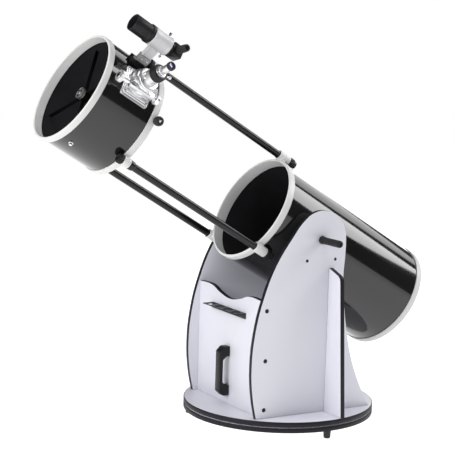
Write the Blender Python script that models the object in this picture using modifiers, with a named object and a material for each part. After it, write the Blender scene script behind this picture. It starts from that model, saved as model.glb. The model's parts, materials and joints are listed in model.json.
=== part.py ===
"""Collapsible truss-tube Dobsonian telescope, 305 mm f/4.9, on a rocker-box base.

Frame: metres, +Z up, the tube looks towards -Y and upwards, X is across the base.
The origin is on the floor, under the middle of the whole telescope.
"""
import math

import bmesh
import bpy
from mathutils import Matrix, Vector

MM = 0.001
GAP = 0.3 * MM                      # clearance between pieces that touch
LARGE = 56                          # sides of tubes, rings and boards
MEDIUM = 28                         # sides of discs, drums and bores
SMALL = 16                          # sides of knobs and screws

# ---- base -------------------------------------------------------------------
BASE_RADIUS = 317.4 * MM
BOARD = 16 * MM                     # laminated chipboard
FOOT_HEIGHT = 27 * MM
FOOT_CIRCLE = 298 * MM
BEARING_GAP = 3.2 * MM              # roller bearing between the two boards
GROUND_TOP = FOOT_HEIGHT + BOARD
ROCKER_BOTTOM = GROUND_TOP + BEARING_GAP
ROCKER_TOP = ROCKER_BOTTOM + BOARD
PANEL_OUTER_X = 214 * MM
PANEL_INNER_X = PANEL_OUTER_X - BOARD
FRONT_BOARD_Y = -200 * MM           # front face, from the azimuth axis
FRONT_BOARD_HEIGHT = 378 * MM
BRACE_Y = 41 * MM
ALT_ABOVE_BOARD = 565 * MM
ALT_Y_FROM_AZIMUTH = 10 * MM
POST_Y = 54 * MM                    # bearing posts, either side of the altitude axis
POST_DROP = 65 * MM
POST_RADIUS = 15.4 * MM
BEARING_RADIUS = math.hypot(POST_Y, POST_DROP) - POST_RADIUS - 0.1 * MM

# side panel outline: distance from the azimuth axis along Y, height over the board
PANEL_TOP_RADIUS = 94 * MM
PANEL_FRONT = [(-217, 0), (-232, 72), (-239, 170), (-229, 280), (-201, 390), (-158, 492),
               (-100, 578)]
PANEL_REAR = [(103, 515), (99, 440), (107, 345), (121, 255), (145, 160), (184, 66), (222, 0)]
PANEL_TOP_ANGLES = (140, 110, 80, 50, 20, -5)
RACK_TOP = 322 * MM
RACK_FLANGE = 19 * MM
RACK_LENGTH = 213 * MM
RACK_REACH = 38 * MM
RACK_SHEET = 3 * MM
RACK_HOLE_X = (-78 * MM, -26 * MM, 26 * MM, 78 * MM)
RACK_HOLE_RADIUS = 16 * MM
RACK_HOLE_REACH = 20 * MM           # from the front board

# ---- optical tube, along its own axis s from the altitude axis -------------------
ALTITUDE = math.radians(31.1)       # rest attitude above the horizon
TUBE_RADIUS = 178 * MM
TUBE_WALL = 1.8 * MM
RING_RADIUS = 181.4 * MM
RING_INNER = 174 * MM
RING_DEPTH = 22.4 * MM
FRONT_RING_DEPTH = 20 * MM          # the ring at the mouth of the cage is a little thinner
REAR_END = -475 * MM
LOWER_FRONT = 164.5 * MM
CAGE_REAR = 700 * MM
CAGE_FRONT = 918 * MM
ROD_RADIUS = 12 * MM
ROD_CIRCLE = 195 * MM
ROD_ANGLES = {"top": 87, "right": -40, "left": 220}
ROD_REAR = 98 * MM
ROD_FRONT = 736 * MM
ROD_ROOM = 0.6 * MM
LUG_RADIUS = 16 * MM
CAP_RADIUS = 16.2 * MM              # lock knobs and rod caps
LOWER_LUG = (128 * MM, 173 * MM)    # each lug, along s
UPPER_LUG = (697 * MM, 722 * MM)
VANE_WIDTH = 12 * MM
MIRROR_RADIUS = 152.5 * MM
MIRROR_THICKNESS = 30 * MM
MIRROR_REAR = -440 * MM

# ---- primary mirror cell -----------------------------------------------------------
CELL_LOW = REAR_END + 2 * MM
CELL_HIGH = REAR_END + 12 * MM
COLLIMATION_CIRCLE = 122 * MM
SUPPORT_LOW = CELL_HIGH + 9 * MM
SUPPORT_HIGH = MIRROR_REAR - GAP
TIP_ROOM = 1.6 * MM                 # lets the mirror tip over the collimation screws

# ---- focuser and finder on the upper cage ----------------------------------------
FOCUSER_ANGLE = 28.5
FOCUSER_S = 799 * MM
DRAWTUBE_RADIUS = 24.5 * MM
COLLAR_RADIUS = 25.5 * MM
COLLAR_TOP = 286 * MM               # from the tube's axis, as are the heights on the focuser
CLAMP_SCREW_ANGLE = -75
SHAFT_OFFSET = -31.5 * MM
SHAFT_R = 207 * MM
SHAFT_RADIUS = 3.2 * MM
EYEPIECE_BARREL = 15.85 * MM         # a standard 31.7 mm barrel
FINDER_ANGLE = 56
FINDER_R = 282 * MM
FINDER_S = 798 * MM
FINDER_EYE_ANGLE = 13
FINDER_SCREW_Y = -12 * MM
FINDER_SCREW_ANGLES = (40, 130, -140)
FINDER_TUBE_RADIUS = 21 * MM
PRISM_Y = -48 * MM
AIM_ROOM = 1.2 * MM                 # lets the finder tilt between its screws
SPIDER_S = 864 * MM
SECONDARY_MINOR = 35 * MM

# ---- placing the frames -----------------------------------------------------------
ALT_Z = ROCKER_TOP + ALT_ABOVE_BOARD
FRONT_REACH = CAGE_FRONT * math.cos(ALTITUDE) + RING_RADIUS * math.sin(ALTITUDE)
REAR_REACH = -REAR_END * math.cos(ALTITUDE) + RING_RADIUS * math.sin(ALTITUDE)
ALT_Y = (FRONT_REACH - REAR_REACH) / 2
AZIMUTH_Y = ALT_Y - ALT_Y_FROM_AZIMUTH

# turns a flat outline drawn in XY to stand in the YZ plane, or in the XZ plane
UPRIGHT_YZ = Matrix(((0, 0, 1), (1, 0, 0), (0, 1, 0)))
UPRIGHT_XZ = Matrix(((1, 0, 0), (0, 0, -1), (0, 1, 0)))

for old in list(bpy.data.objects):
    bpy.data.objects.remove(old)

PARTS = bpy.data.collections.new("dobsonian_telescope")
CUTTERS = bpy.data.collections.new("cutters")
bpy.context.scene.collection.children.link(PARTS)
bpy.context.scene.collection.children.link(CUTTERS)

# name: colour, roughness, metallic
FINISHES = {
    "laminate": ((0.80, 0.80, 0.88), 0.45, 0.0),
    "black_tube": ((0.010, 0.009, 0.009), 0.12, 0.3),
    "white_ring": ((0.82, 0.82, 0.80), 0.35, 0.0),
    "black_plastic": ((0.015, 0.015, 0.018), 0.40, 0.0),
    "rod_black": ((0.012, 0.012, 0.013), 0.25, 0.2),
    "silver": ((0.75, 0.75, 0.76), 0.25, 1.0),
    "chrome": ((0.85, 0.85, 0.87), 0.08, 1.0),
    "steel": ((0.45, 0.45, 0.46), 0.35, 1.0),
    "nylon": ((0.75, 0.75, 0.72), 0.50, 0.0),
    "rubber": ((0.02, 0.02, 0.02), 0.70, 0.0),
    "mirror": ((0.90, 0.92, 0.94), 0.02, 1.0),
    "grey_bracket": ((0.62, 0.62, 0.62), 0.35, 0.3),
}


def material(name):
    found = bpy.data.materials.get(name)
    if found:
        return found
    colour, roughness, metallic = FINISHES[name]
    made = bpy.data.materials.new(name)
    made.use_nodes = True
    shader = made.node_tree.nodes["Principled BSDF"]
    shader.inputs["Base Color"].default_value = (*colour, 1)
    shader.inputs["Roughness"].default_value = roughness
    shader.inputs["Metallic"].default_value = metallic
    return made


def empty(name, parent=None, at=(0, 0, 0), rotation=None):
    """An axis or a local frame that pieces hang from."""
    frame = bpy.data.objects.new(name, None)
    frame.empty_display_size = 0.05
    PARTS.objects.link(frame)
    frame.parent = parent
    turn = (rotation or Matrix.Identity(3)).to_4x4()
    frame.matrix_local = Matrix.Translation(at) @ turn
    return frame


def place(obj, parent, at=(0, 0, 0), along=None):
    """Hang obj from parent at a point, with its local Z along the given direction."""
    obj.parent = parent
    rotation = Matrix.Identity(4)
    if along is not None:
        rotation = Vector(along).to_track_quat("Z", "Y").to_matrix().to_4x4()
    obj.matrix_local = Matrix.Translation(at) @ rotation
    return obj


def new_object(name, mesh, finish, collection=PARTS):
    obj = bpy.data.objects.new(name, mesh)
    collection.objects.link(obj)
    if finish:
        mesh.materials.append(material(finish))
    return obj


def smooth(mesh):
    mesh.shade_smooth()
    mesh.set_sharp_from_angle(angle=math.radians(35))


def box(name, finish, size, bevel=0.0):
    """A block centred on its own origin."""
    mesh = bpy.data.meshes.new(name)
    shape = bmesh.new()
    bmesh.ops.create_cube(shape, size=1)
    bmesh.ops.scale(shape, vec=size, verts=shape.verts)
    shape.to_mesh(mesh)
    shape.free()
    obj = new_object(name, mesh, finish)
    if bevel:
        rounding = obj.modifiers.new("rounding", "BEVEL")
        rounding.width = bevel
        rounding.segments = 2
    return obj


def rod(name, finish, radius, low, high, sides=24, top_radius=None):
    """A cylinder or cone along its own Z, from low to high."""
    mesh = bpy.data.meshes.new(name)
    shape = bmesh.new()
    bmesh.ops.create_cone(
        shape, cap_ends=True, segments=sides, radius1=radius,
        radius2=radius if top_radius is None else top_radius, depth=high - low,
        matrix=Matrix.Translation((0, 0, (high + low) / 2)))
    shape.to_mesh(mesh)
    shape.free()
    obj = new_object(name, mesh, finish)
    smooth(mesh)
    return obj


def turned(name, finish, profile, sides=48, closed=False):
    """A solid of revolution about Z. The profile runs down the outside, top to bottom."""
    mesh = bpy.data.meshes.new(name)
    edges = [(i, i + 1) for i in range(len(profile) - 1)]
    if closed:
        edges.append((len(profile) - 1, 0))
    mesh.from_pydata([(r, 0, z) for r, z in profile], edges, [])
    obj = new_object(name, mesh, finish)
    screw = obj.modifiers.new("turn", "SCREW")
    screw.steps = sides
    screw.render_steps = sides
    screw.use_merge_vertices = True
    screw.merge_threshold = 0.00001
    return obj


def ring(name, finish, outer, inner, low, high, sides=LARGE):
    """A plain collar round Z."""
    profile = [(outer, high), (outer, low), (inner, low), (inner, high)]
    return turned(name, finish, profile, sides, closed=True)


def plate(name, finish, splines, thickness):
    """A flat sheet in its own XY plane. Each spline is (points, curved)."""
    curve = bpy.data.curves.new(name, "CURVE")
    curve.dimensions = "2D"
    curve.fill_mode = "BOTH"
    curve.extrude = thickness / 2
    for points, curved in splines:
        if curved:
            spline = curve.splines.new("BEZIER")
            spline.bezier_points.add(len(points) - 1)
            spline.resolution_u = 4
            for point, (x, y, kind) in zip(spline.bezier_points, points):
                point.co = (x, y, 0)
                point.handle_left_type = kind
                point.handle_right_type = kind
        else:
            spline = curve.splines.new("POLY")
            spline.points.add(len(points) - 1)
            for point, (x, y) in zip(spline.points, points):
                point.co = (x, y, 0, 1)
        spline.use_cyclic_u = True
    return meshed(name, finish, curve)


def meshed(name, finish, curve):
    """Turn a curve into a welded, closed mesh object."""
    source = bpy.data.objects.new(name + "_curve", curve)
    CUTTERS.objects.link(source)
    bpy.context.view_layer.update()
    depsgraph = bpy.context.evaluated_depsgraph_get()
    mesh = bpy.data.meshes.new_from_object(source.evaluated_get(depsgraph))
    mesh.name = name
    mesh.materials.clear()
    shape = bmesh.new()
    shape.from_mesh(mesh)
    bmesh.ops.remove_doubles(shape, verts=shape.verts, dist=0.00001)
    bmesh.ops.recalc_face_normals(shape, faces=shape.faces)
    shape.to_mesh(mesh)
    shape.free()
    bpy.data.objects.remove(source)
    return new_object(name, mesh, finish)


def combine(target, tool, operation):
    """Join tool to target, or cut it away. The tool stays as a hidden guide."""
    for collection in list(tool.users_collection):
        collection.objects.unlink(tool)
    CUTTERS.objects.link(tool)
    tool.hide_render = True
    tool.display_type = "WIRE"
    step = target.modifiers.new(operation.lower(), "BOOLEAN")
    step.operation = operation
    step.object = tool
    return target


def join(target, tool):
    return combine(target, tool, "UNION")


def cut(target, tool):
    return combine(target, tool, "DIFFERENCE")


def around(angle, radius, height=0.0):
    """A point at an angle in degrees round the local Z axis."""
    return (radius * math.cos(math.radians(angle)),
            radius * math.sin(math.radians(angle)), height)


# ---- frames ------------------------------------------------------------------------
azimuth = empty("azimuth_axis", at=(0, AZIMUTH_Y, 0))
tube_turn = Matrix((
    (1, 0, 0),
    (0, math.sin(ALTITUDE), -math.cos(ALTITUDE)),
    (0, math.cos(ALTITUDE), math.sin(ALTITUDE)),
))
altitude = empty("altitude_axis", at=(0, ALT_Y, ALT_Z), rotation=tube_turn)
cage = empty("cage_slide", altitude)


def radial_frame(name, parent, angle, s):
    """A frame with Z outwards from the tube at an angle, and Y forwards along the tube."""
    outward = Vector(around(angle, 1))
    forward = Vector((0, 0, 1))
    across = forward.cross(outward)
    turn = Matrix((across, forward, outward)).transposed()
    return empty(name, parent, at=(0, 0, s), rotation=turn)


# ---- ground board --------------------------------------------------------------------
def build_ground():
    board = turned("ground_board", "laminate", [
        (BASE_RADIUS, GROUND_TOP), (BASE_RADIUS, FOOT_HEIGHT),
        (5.5 * MM, FOOT_HEIGHT), (5.5 * MM, GROUND_TOP)], LARGE, closed=True)
    place(board, azimuth)
    for label, angle in (("right", 0), ("left_front", 240), ("left_rear", 120)):
        foot = rod("foot_" + label, "rubber", 10.5 * MM, 0, FOOT_HEIGHT - GAP, SMALL, 13 * MM)
        place(foot, azimuth, around(angle, FOOT_CIRCLE))
    bolt = turned("azimuth_bolt", "steel", [
        (0, ROCKER_TOP + 16 * MM), (5 * MM, ROCKER_TOP + 16 * MM), (5 * MM, FOOT_HEIGHT - GAP),
        (13 * MM, FOOT_HEIGHT - GAP), (13 * MM, FOOT_HEIGHT - 7 * MM),
        (0, FOOT_HEIGHT - 7 * MM)], SMALL)
    place(bolt, azimuth)
    nut = turned("azimuth_lock_nut", "steel", [
        (9.5 * MM, ROCKER_TOP + 11 * MM), (9.5 * MM, ROCKER_TOP + 1 * MM),
        (16 * MM, ROCKER_TOP + 1 * MM), (16 * MM, ROCKER_TOP + GAP),
        (5.3 * MM, ROCKER_TOP + GAP), (5.3 * MM, ROCKER_TOP + 11 * MM)], SMALL, closed=True)
    place(nut, azimuth)
    cage_ring = ring("roller_bearing", "steel", 95 * MM, 62 * MM,
                     GROUND_TOP + GAP, ROCKER_BOTTOM - GAP, MEDIUM)
    place(cage_ring, azimuth)


# ---- rocker box ----------------------------------------------------------------------
def panel_outline():
    corners = {0: "VECTOR"}
    points = [(y * MM, z * MM, corners.get(i, "AUTO")) for i, (y, z) in enumerate(PANEL_FRONT)]
    for angle in PANEL_TOP_ANGLES:
        y, z, _ = around(angle, PANEL_TOP_RADIUS)
        points.append((y + ALT_Y_FROM_AZIMUTH, z + ALT_ABOVE_BOARD, "AUTO"))
    last = len(PANEL_REAR) - 1
    for i, (y, z) in enumerate(PANEL_REAR):
        points.append((y * MM, z * MM, "VECTOR" if i == last else "AUTO"))
    return points


def stand(obj, parent, rotation, at):
    obj.parent = parent
    obj.matrix_local = Matrix.Translation(at) @ rotation.to_4x4()
    return obj


def build_side_panel(label, side):
    panel = plate("side_panel_" + label, "laminate", [(panel_outline(), True)], BOARD)
    stand(panel, azimuth, UPRIGHT_YZ, (side * (PANEL_INNER_X + BOARD / 2), 0, ROCKER_TOP + GAP))
    hole = rod("handle_hole_" + label, None, 8 * MM, -20 * MM, 20 * MM, SMALL)
    place(hole, azimuth, (side * PANEL_INNER_X, ALT_Y_FROM_AZIMUTH, ROCKER_TOP + ALT_ABOVE_BOARD),
          (1, 0, 0))
    cut(panel, hole)


def build_brace(label, side):
    foot_width = 97 * MM
    top_width = 62 * MM
    outline = [(0, 0), (foot_width, 0), (top_width + 3 * MM, 438 * MM), (top_width, 447 * MM),
               (top_width - 8 * MM, 454 * MM), (0, 472 * MM)]
    if side < 0:
        outline = [(-x, z) for x, z in outline]
    brace = plate("panel_brace_" + label, "laminate", [(outline, False)], BOARD)
    stand(brace, azimuth, UPRIGHT_XZ,
          (side * (PANEL_OUTER_X + GAP), BRACE_Y + BOARD / 2, ROCKER_TOP + GAP))


def build_front_board():
    half = PANEL_INNER_X - GAP
    top = FRONT_BOARD_HEIGHT
    dip_half = 116 * MM
    dip = 27 * MM
    outline = [(-half, 0, "VECTOR"), (half, 0, "VECTOR"), (half, top, "VECTOR"),
               (dip_half, top, "AUTO"), (dip_half * 0.55, top - dip * 0.62, "AUTO"),
               (0, top - dip, "AUTO"),
               (-dip_half * 0.55, top - dip * 0.62, "AUTO"), (-dip_half, top, "AUTO"),
               (-half, top, "VECTOR")]
    board = plate("front_board", "laminate", [(outline, True)], BOARD)
    stand(board, azimuth, UPRIGHT_XZ, (0, FRONT_BOARD_Y + BOARD / 2, ROCKER_TOP + GAP))


def build_rocker():
    board = turned("rotating_board", "laminate", [
        (BASE_RADIUS, ROCKER_TOP), (BASE_RADIUS, ROCKER_BOTTOM),
        (7 * MM, ROCKER_BOTTOM), (7 * MM, ROCKER_TOP)], LARGE, closed=True)
    place(board, azimuth)
    for label, side in (("right", 1), ("left", -1)):
        build_side_panel(label, side)
        build_brace(label, side)
        for where, offset in (("front", -POST_Y), ("rear", POST_Y)):
            post = rod("bearing_post_" + label + "_" + where, "nylon", POST_RADIUS,
                       181.5 * MM, PANEL_INNER_X - GAP, MEDIUM)
            place(post, azimuth, (0, ALT_Y_FROM_AZIMUTH + offset,
                                  ROCKER_TOP + ALT_ABOVE_BOARD - POST_DROP), (side, 0, 0))
    build_front_board()
    build_carry_handle()
    build_eyepiece_rack()


def build_carry_handle():
    low = ROCKER_TOP + 30 * MM
    high = ROCKER_TOP + 195 * MM
    reach = 38 * MM
    foot = 34 * MM
    side_view = [(0, low), (-reach + 16 * MM, low), (-reach, low + 16 * MM),
                 (-reach, high - 16 * MM), (-reach + 16 * MM, high), (0, high),
                 (0, high - foot), (-reach + 26 * MM, high - foot),
                 (-reach + 13 * MM, high - foot - 12 * MM),
                 (-reach + 13 * MM, low + foot + 12 * MM),
                 (-reach + 26 * MM, low + foot), (0, low + foot)]
    handle = plate("carry_handle", "black_plastic", [(side_view, False)], 30 * MM)
    stand(handle, azimuth, UPRIGHT_YZ, (0, FRONT_BOARD_Y - GAP, 0))
    rounding = handle.modifiers.new("rounding", "BEVEL")
    rounding.width = 3 * MM
    rounding.segments = 2


def build_eyepiece_rack():
    """An angle bracket: a flange on the front board and a shelf along its top, with holes."""
    top = ROCKER_TOP + RACK_TOP
    face = FRONT_BOARD_Y - GAP
    rack = box("eyepiece_rack", "black_plastic", (RACK_LENGTH, RACK_SHEET, RACK_FLANGE))
    place(rack, azimuth, (0, face - RACK_SHEET / 2, top - RACK_FLANGE / 2))
    shelf_reach = RACK_REACH - 1 * MM
    shelf = box("rack_shelf", None, (RACK_LENGTH - 1 * MM, shelf_reach, RACK_SHEET))
    place(shelf, azimuth, (0, face - RACK_REACH + shelf_reach / 2, top - RACK_SHEET / 2 - 0.5 * MM))
    join(rack, shelf)
    for i, x in enumerate(RACK_HOLE_X):
        hole = rod(f"rack_hole_{i}", None, RACK_HOLE_RADIUS, -15 * MM, 15 * MM, MEDIUM)
        place(hole, azimuth, (x, face - RACK_HOLE_REACH, top))
        cut(rack, hole)


# ---- optical tube: lower half ---------------------------------------------------------
def tube_shell(name, low, high):
    return ring(name, "black_tube", TUBE_RADIUS, TUBE_RADIUS - TUBE_WALL, low, high)


def end_ring(name, low, high, lip):
    """A cast end ring with a lip that reaches inside the tube by lip."""
    inside = TUBE_RADIUS - TUBE_WALL - GAP
    up = lip > 0                    # the tube is above the ring when lip is positive
    if up:
        profile = [(inside, high + lip), (inside, high), (RING_RADIUS, high),
                   (RING_RADIUS, low + 4 * MM), (RING_RADIUS - 4 * MM, low), (RING_INNER, low),
                   (RING_INNER, high + lip)]
    else:
        profile = [(RING_INNER, high), (RING_RADIUS - 4 * MM, high), (RING_RADIUS, high - 4 * MM),
                   (RING_RADIUS, low), (inside, low), (inside, low + lip), (RING_INNER, low + lip)]
    return turned(name, "white_ring", profile, LARGE, closed=True)


def add_rod_lugs(target, span, ring_middle, parent):
    """Lugs on the outside of a ring, one for each truss rod, with a running hole."""
    low, high = span
    for label, angle in ROD_ANGLES.items():
        lug = rod(target.name + "_lug_" + label, None, LUG_RADIUS, low, high, SMALL)
        place(lug, parent, around(angle, ROD_CIRCLE))
        join(target, lug)
        web = box(target.name + "_web_" + label, None, (20 * MM, 30 * MM, RING_DEPTH - 2 * MM))
        web.parent = parent
        web.matrix_local = (Matrix.Translation(around(angle, ROD_CIRCLE - 10 * MM, ring_middle))
                            @ Matrix.Rotation(math.radians(angle), 4, "Z"))
        join(target, web)
    for label, angle in ROD_ANGLES.items():
        hole = rod(target.name + "_hole_" + label, None, ROD_RADIUS + ROD_ROOM,
                   low - 10 * MM, high + 10 * MM, SMALL)
        place(hole, parent, around(angle, ROD_CIRCLE))
        cut(target, hole)


def build_lower_tube():
    seat = RING_DEPTH + GAP
    shell = tube_shell("lower_tube", REAR_END + seat, LOWER_FRONT - seat)
    place(shell, altitude)
    front = end_ring("lower_front_ring", LOWER_FRONT - RING_DEPTH, LOWER_FRONT, -16 * MM)
    place(front, altitude)
    add_rod_lugs(front, LOWER_LUG, LOWER_FRONT - RING_DEPTH / 2, altitude)
    rear = end_ring("lower_rear_ring", REAR_END, REAR_END + RING_DEPTH, 16 * MM)
    place(rear, altitude)
    for label, side in (("right", 1), ("left", -1)):
        build_altitude_bearing(label, side)
    high = LOWER_LUG[0] - 1 * MM
    low = high - 20 * MM
    for label, angle in ROD_ANGLES.items():
        knob = turned("truss_lock_knob_" + label, "black_plastic", [
            (CAP_RADIUS - 1.5 * MM, high), (CAP_RADIUS, high - 1.5 * MM),
            (CAP_RADIUS, low + 1.5 * MM), (CAP_RADIUS - 1.5 * MM, low),
            (ROD_RADIUS + ROD_ROOM, low), (ROD_RADIUS + ROD_ROOM, high)], SMALL, closed=True)
        place(knob, altitude, around(angle, ROD_CIRCLE))


def build_altitude_bearing(label, side):
    """A disc on the side of the tube, which rides on the two posts."""
    outer_x = 195.5 * MM
    disc = turned("altitude_bearing_" + label, "black_plastic", [
        (0, outer_x), (BEARING_RADIUS - 2 * MM, outer_x), (BEARING_RADIUS, outer_x - 2 * MM),
        (BEARING_RADIUS, 150 * MM), (0, 150 * MM)], 36)
    place(disc, altitude, along=(side, 0, 0))
    body = rod("bearing_saddle_" + label, None, TUBE_RADIUS + GAP, -140 * MM, 140 * MM, LARGE)
    place(body, altitude)
    cut(disc, body)
    socket = rod("bearing_socket_" + label, None, 6 * MM, 184 * MM, 210 * MM, SMALL)
    place(socket, altitude, along=(side, 0, 0))
    cut(disc, socket)
    lever = turned("tension_handle_" + label, "black_plastic", [
        (0, 316 * MM), (9 * MM, 316 * MM), (11.5 * MM, 313 * MM), (11.5 * MM, 222 * MM),
        (13 * MM, 216 * MM), (13 * MM, PANEL_OUTER_X + 0.5 * MM), (5.5 * MM, PANEL_OUTER_X + 0.5 * MM),
        (5.5 * MM, 185 * MM), (0, 185 * MM)], SMALL)
    place(lever, altitude, along=(side, 0, 0))


# ---- primary mirror and its cell --------------------------------------------------------
def build_mirror_cell():
    cell = ring("mirror_cell_frame", "black_plastic", RING_INNER - GAP, 150 * MM,
                CELL_LOW, CELL_HIGH)
    place(cell, altitude)
    hub = rod("cell_hub", None, 40 * MM, CELL_LOW + 1 * MM, CELL_HIGH - 1 * MM, MEDIUM)
    place(hub, altitude)
    join(cell, hub)
    for i in range(3):
        angle = 90 + 120 * i
        arm = box(f"cell_arm_{i}", None, (135 * MM, 34 * MM, CELL_HIGH - CELL_LOW - 4 * MM))
        arm.parent = altitude
        arm.matrix_local = (Matrix.Translation(around(angle, 90 * MM, (CELL_LOW + CELL_HIGH) / 2))
                            @ Matrix.Rotation(math.radians(angle), 4, "Z"))
        join(cell, arm)
    for i in range(3):
        hole = rod(f"cell_hole_{i}", None, 4.3 * MM, CELL_LOW - 5 * MM, CELL_HIGH + 5 * MM, 16)
        place(hole, altitude, around(90 + 120 * i, COLLIMATION_CIRCLE))
        cut(cell, hole)
    support = rod("mirror_support", "steel", 150 * MM, SUPPORT_LOW, SUPPORT_HIGH, 36)
    place(support, altitude)
    mirror = turned("primary_mirror", "mirror", [
        (MIRROR_RADIUS - 1.5 * MM, MIRROR_REAR + MIRROR_THICKNESS),
        (MIRROR_RADIUS, MIRROR_REAR + MIRROR_THICKNESS - 1.5 * MM),
        (MIRROR_RADIUS, MIRROR_REAR), (0, MIRROR_REAR),
        (0, MIRROR_REAR + MIRROR_THICKNESS - 3.9 * MM),
        (MIRROR_RADIUS / 2, MIRROR_REAR + MIRROR_THICKNESS - 2.9 * MM)], LARGE)
    mesh_loop_close(mirror)
    place(mirror, altitude)
    for i in range(3):
        angle = 90 + 120 * i
        knob = turned(f"collimation_knob_{i + 1}", "black_plastic", [
            (0, SUPPORT_LOW - TIP_ROOM), (3.8 * MM, SUPPORT_LOW - TIP_ROOM), (3.8 * MM, CELL_LOW - 3 * MM),
            (12 * MM, CELL_LOW - 3 * MM), (13 * MM, CELL_LOW - 5 * MM),
            (13 * MM, CELL_LOW - 19 * MM), (11 * MM, CELL_LOW - 21 * MM),
            (0, CELL_LOW - 21 * MM)], SMALL)
        place(knob, altitude, around(angle, COLLIMATION_CIRCLE))


def mesh_loop_close(obj):
    """Join the last profile point of a turned piece back to the first."""
    mesh = obj.data
    shape = bmesh.new()
    shape.from_mesh(mesh)
    shape.verts.ensure_lookup_table()
    shape.edges.new((shape.verts[-1], shape.verts[0]))
    axis = [v for v in shape.verts if v.co.x < 0.000001]
    shape.edges.remove(shape.edges.get(axis))
    shape.to_mesh(mesh)
    shape.free()


# ---- upper cage -----------------------------------------------------------------------
def build_cage():
    seat = RING_DEPTH + GAP
    shell = tube_shell("upper_tube", CAGE_REAR + seat, CAGE_FRONT - FRONT_RING_DEPTH - GAP)
    place(shell, cage)
    focuser_hole = rod("focuser_hole", None, DRAWTUBE_RADIUS + 2 * MM, 100 * MM, 220 * MM, MEDIUM)
    place(focuser_hole, cage, (0, 0, FOCUSER_S), around(FOCUSER_ANGLE, 1))
    cut(shell, focuser_hole)
    front = end_ring("upper_front_ring", CAGE_FRONT - FRONT_RING_DEPTH, CAGE_FRONT, -8 * MM)
    place(front, cage)
    rear = end_ring("upper_rear_ring", CAGE_REAR, CAGE_REAR + RING_DEPTH, 10 * MM)
    place(rear, cage)
    add_rod_lugs(rear, UPPER_LUG, CAGE_REAR + RING_DEPTH / 2, cage)
    cap_low = UPPER_LUG[1] + 1 * MM
    cap_high = ROD_FRONT + 3 * MM
    for label, angle in ROD_ANGLES.items():
        pole = rod("truss_rod_" + label, "rod_black", ROD_RADIUS, ROD_REAR, ROD_FRONT, 24)
        place(pole, cage, around(angle, ROD_CIRCLE))
        cap = turned("rod_fixing_knob_" + label, "black_plastic", [
            (0, cap_high), (CAP_RADIUS - 2 * MM, cap_high), (CAP_RADIUS, cap_high - 2 * MM),
            (CAP_RADIUS, cap_low + 1.5 * MM), (CAP_RADIUS - 1.5 * MM, cap_low),
            (ROD_RADIUS + 0.4 * MM, cap_low), (ROD_RADIUS + 0.4 * MM, ROD_FRONT + GAP),
            (0, ROD_FRONT + GAP)], SMALL)
        place(cap, cage, around(angle, ROD_CIRCLE))
    bumper = turned("rest_bumper", "rubber", [
        (0, 206 * MM), (13 * MM, 206 * MM), (17 * MM, 202 * MM), (17 * MM, 186 * MM),
        (12 * MM, RING_RADIUS + GAP), (0, RING_RADIUS + GAP)], 20)
    place(bumper, cage, (0, 0, CAGE_REAR + 1 * MM), around(7, 1))


def build_spider():
    hub = rod("spider", "black_plastic", 17 * MM, SPIDER_S - 14 * MM, SPIDER_S + 14 * MM, MEDIUM)
    place(hub, cage)
    reach = TUBE_RADIUS - TUBE_WALL - GAP
    for i in range(4):
        angle = FOCUSER_ANGLE + 90 * i
        vane = box(f"spider_vane_{i}", None, (reach - 10 * MM, 1.4 * MM, VANE_WIDTH))
        vane.parent = cage
        vane.matrix_local = (Matrix.Translation(around(angle, (reach + 10 * MM) / 2, SPIDER_S))
                             @ Matrix.Rotation(math.radians(angle), 4, "Z"))
        join(hub, vane)


def build_secondary():
    """The holder is a cylinder cut at 45 degrees that carries the oval mirror."""
    outward = Vector(around(FOCUSER_ANGLE, 1))
    normal = (outward - Vector((0, 0, 1))).normalized()
    centre = Vector((0, 0, FOCUSER_S))
    holder = rod("secondary_holder", "black_plastic", SECONDARY_MINOR - 2 * MM,
                 FOCUSER_S - 60 * MM, SPIDER_S - 14 * MM - GAP, MEDIUM)
    place(holder, cage)
    half_space = box("holder_slope", None, (300 * MM, 300 * MM, 100 * MM))
    place(half_space, cage, centre + normal * (50 * MM - 7.3 * MM), normal)
    cut(holder, half_space)
    mirror = rod("secondary_mirror", "mirror", SECONDARY_MINOR, FOCUSER_S - 80 * MM,
                 FOCUSER_S + 80 * MM, 36)
    place(mirror, cage)
    for label, offset in (("front", 50 * MM), ("back", -57 * MM)):
        slope = box("mirror_slope_" + label, None, (300 * MM, 300 * MM, 100 * MM))
        place(slope, cage, centre + normal * offset, normal)
        cut(mirror, slope)


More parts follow.
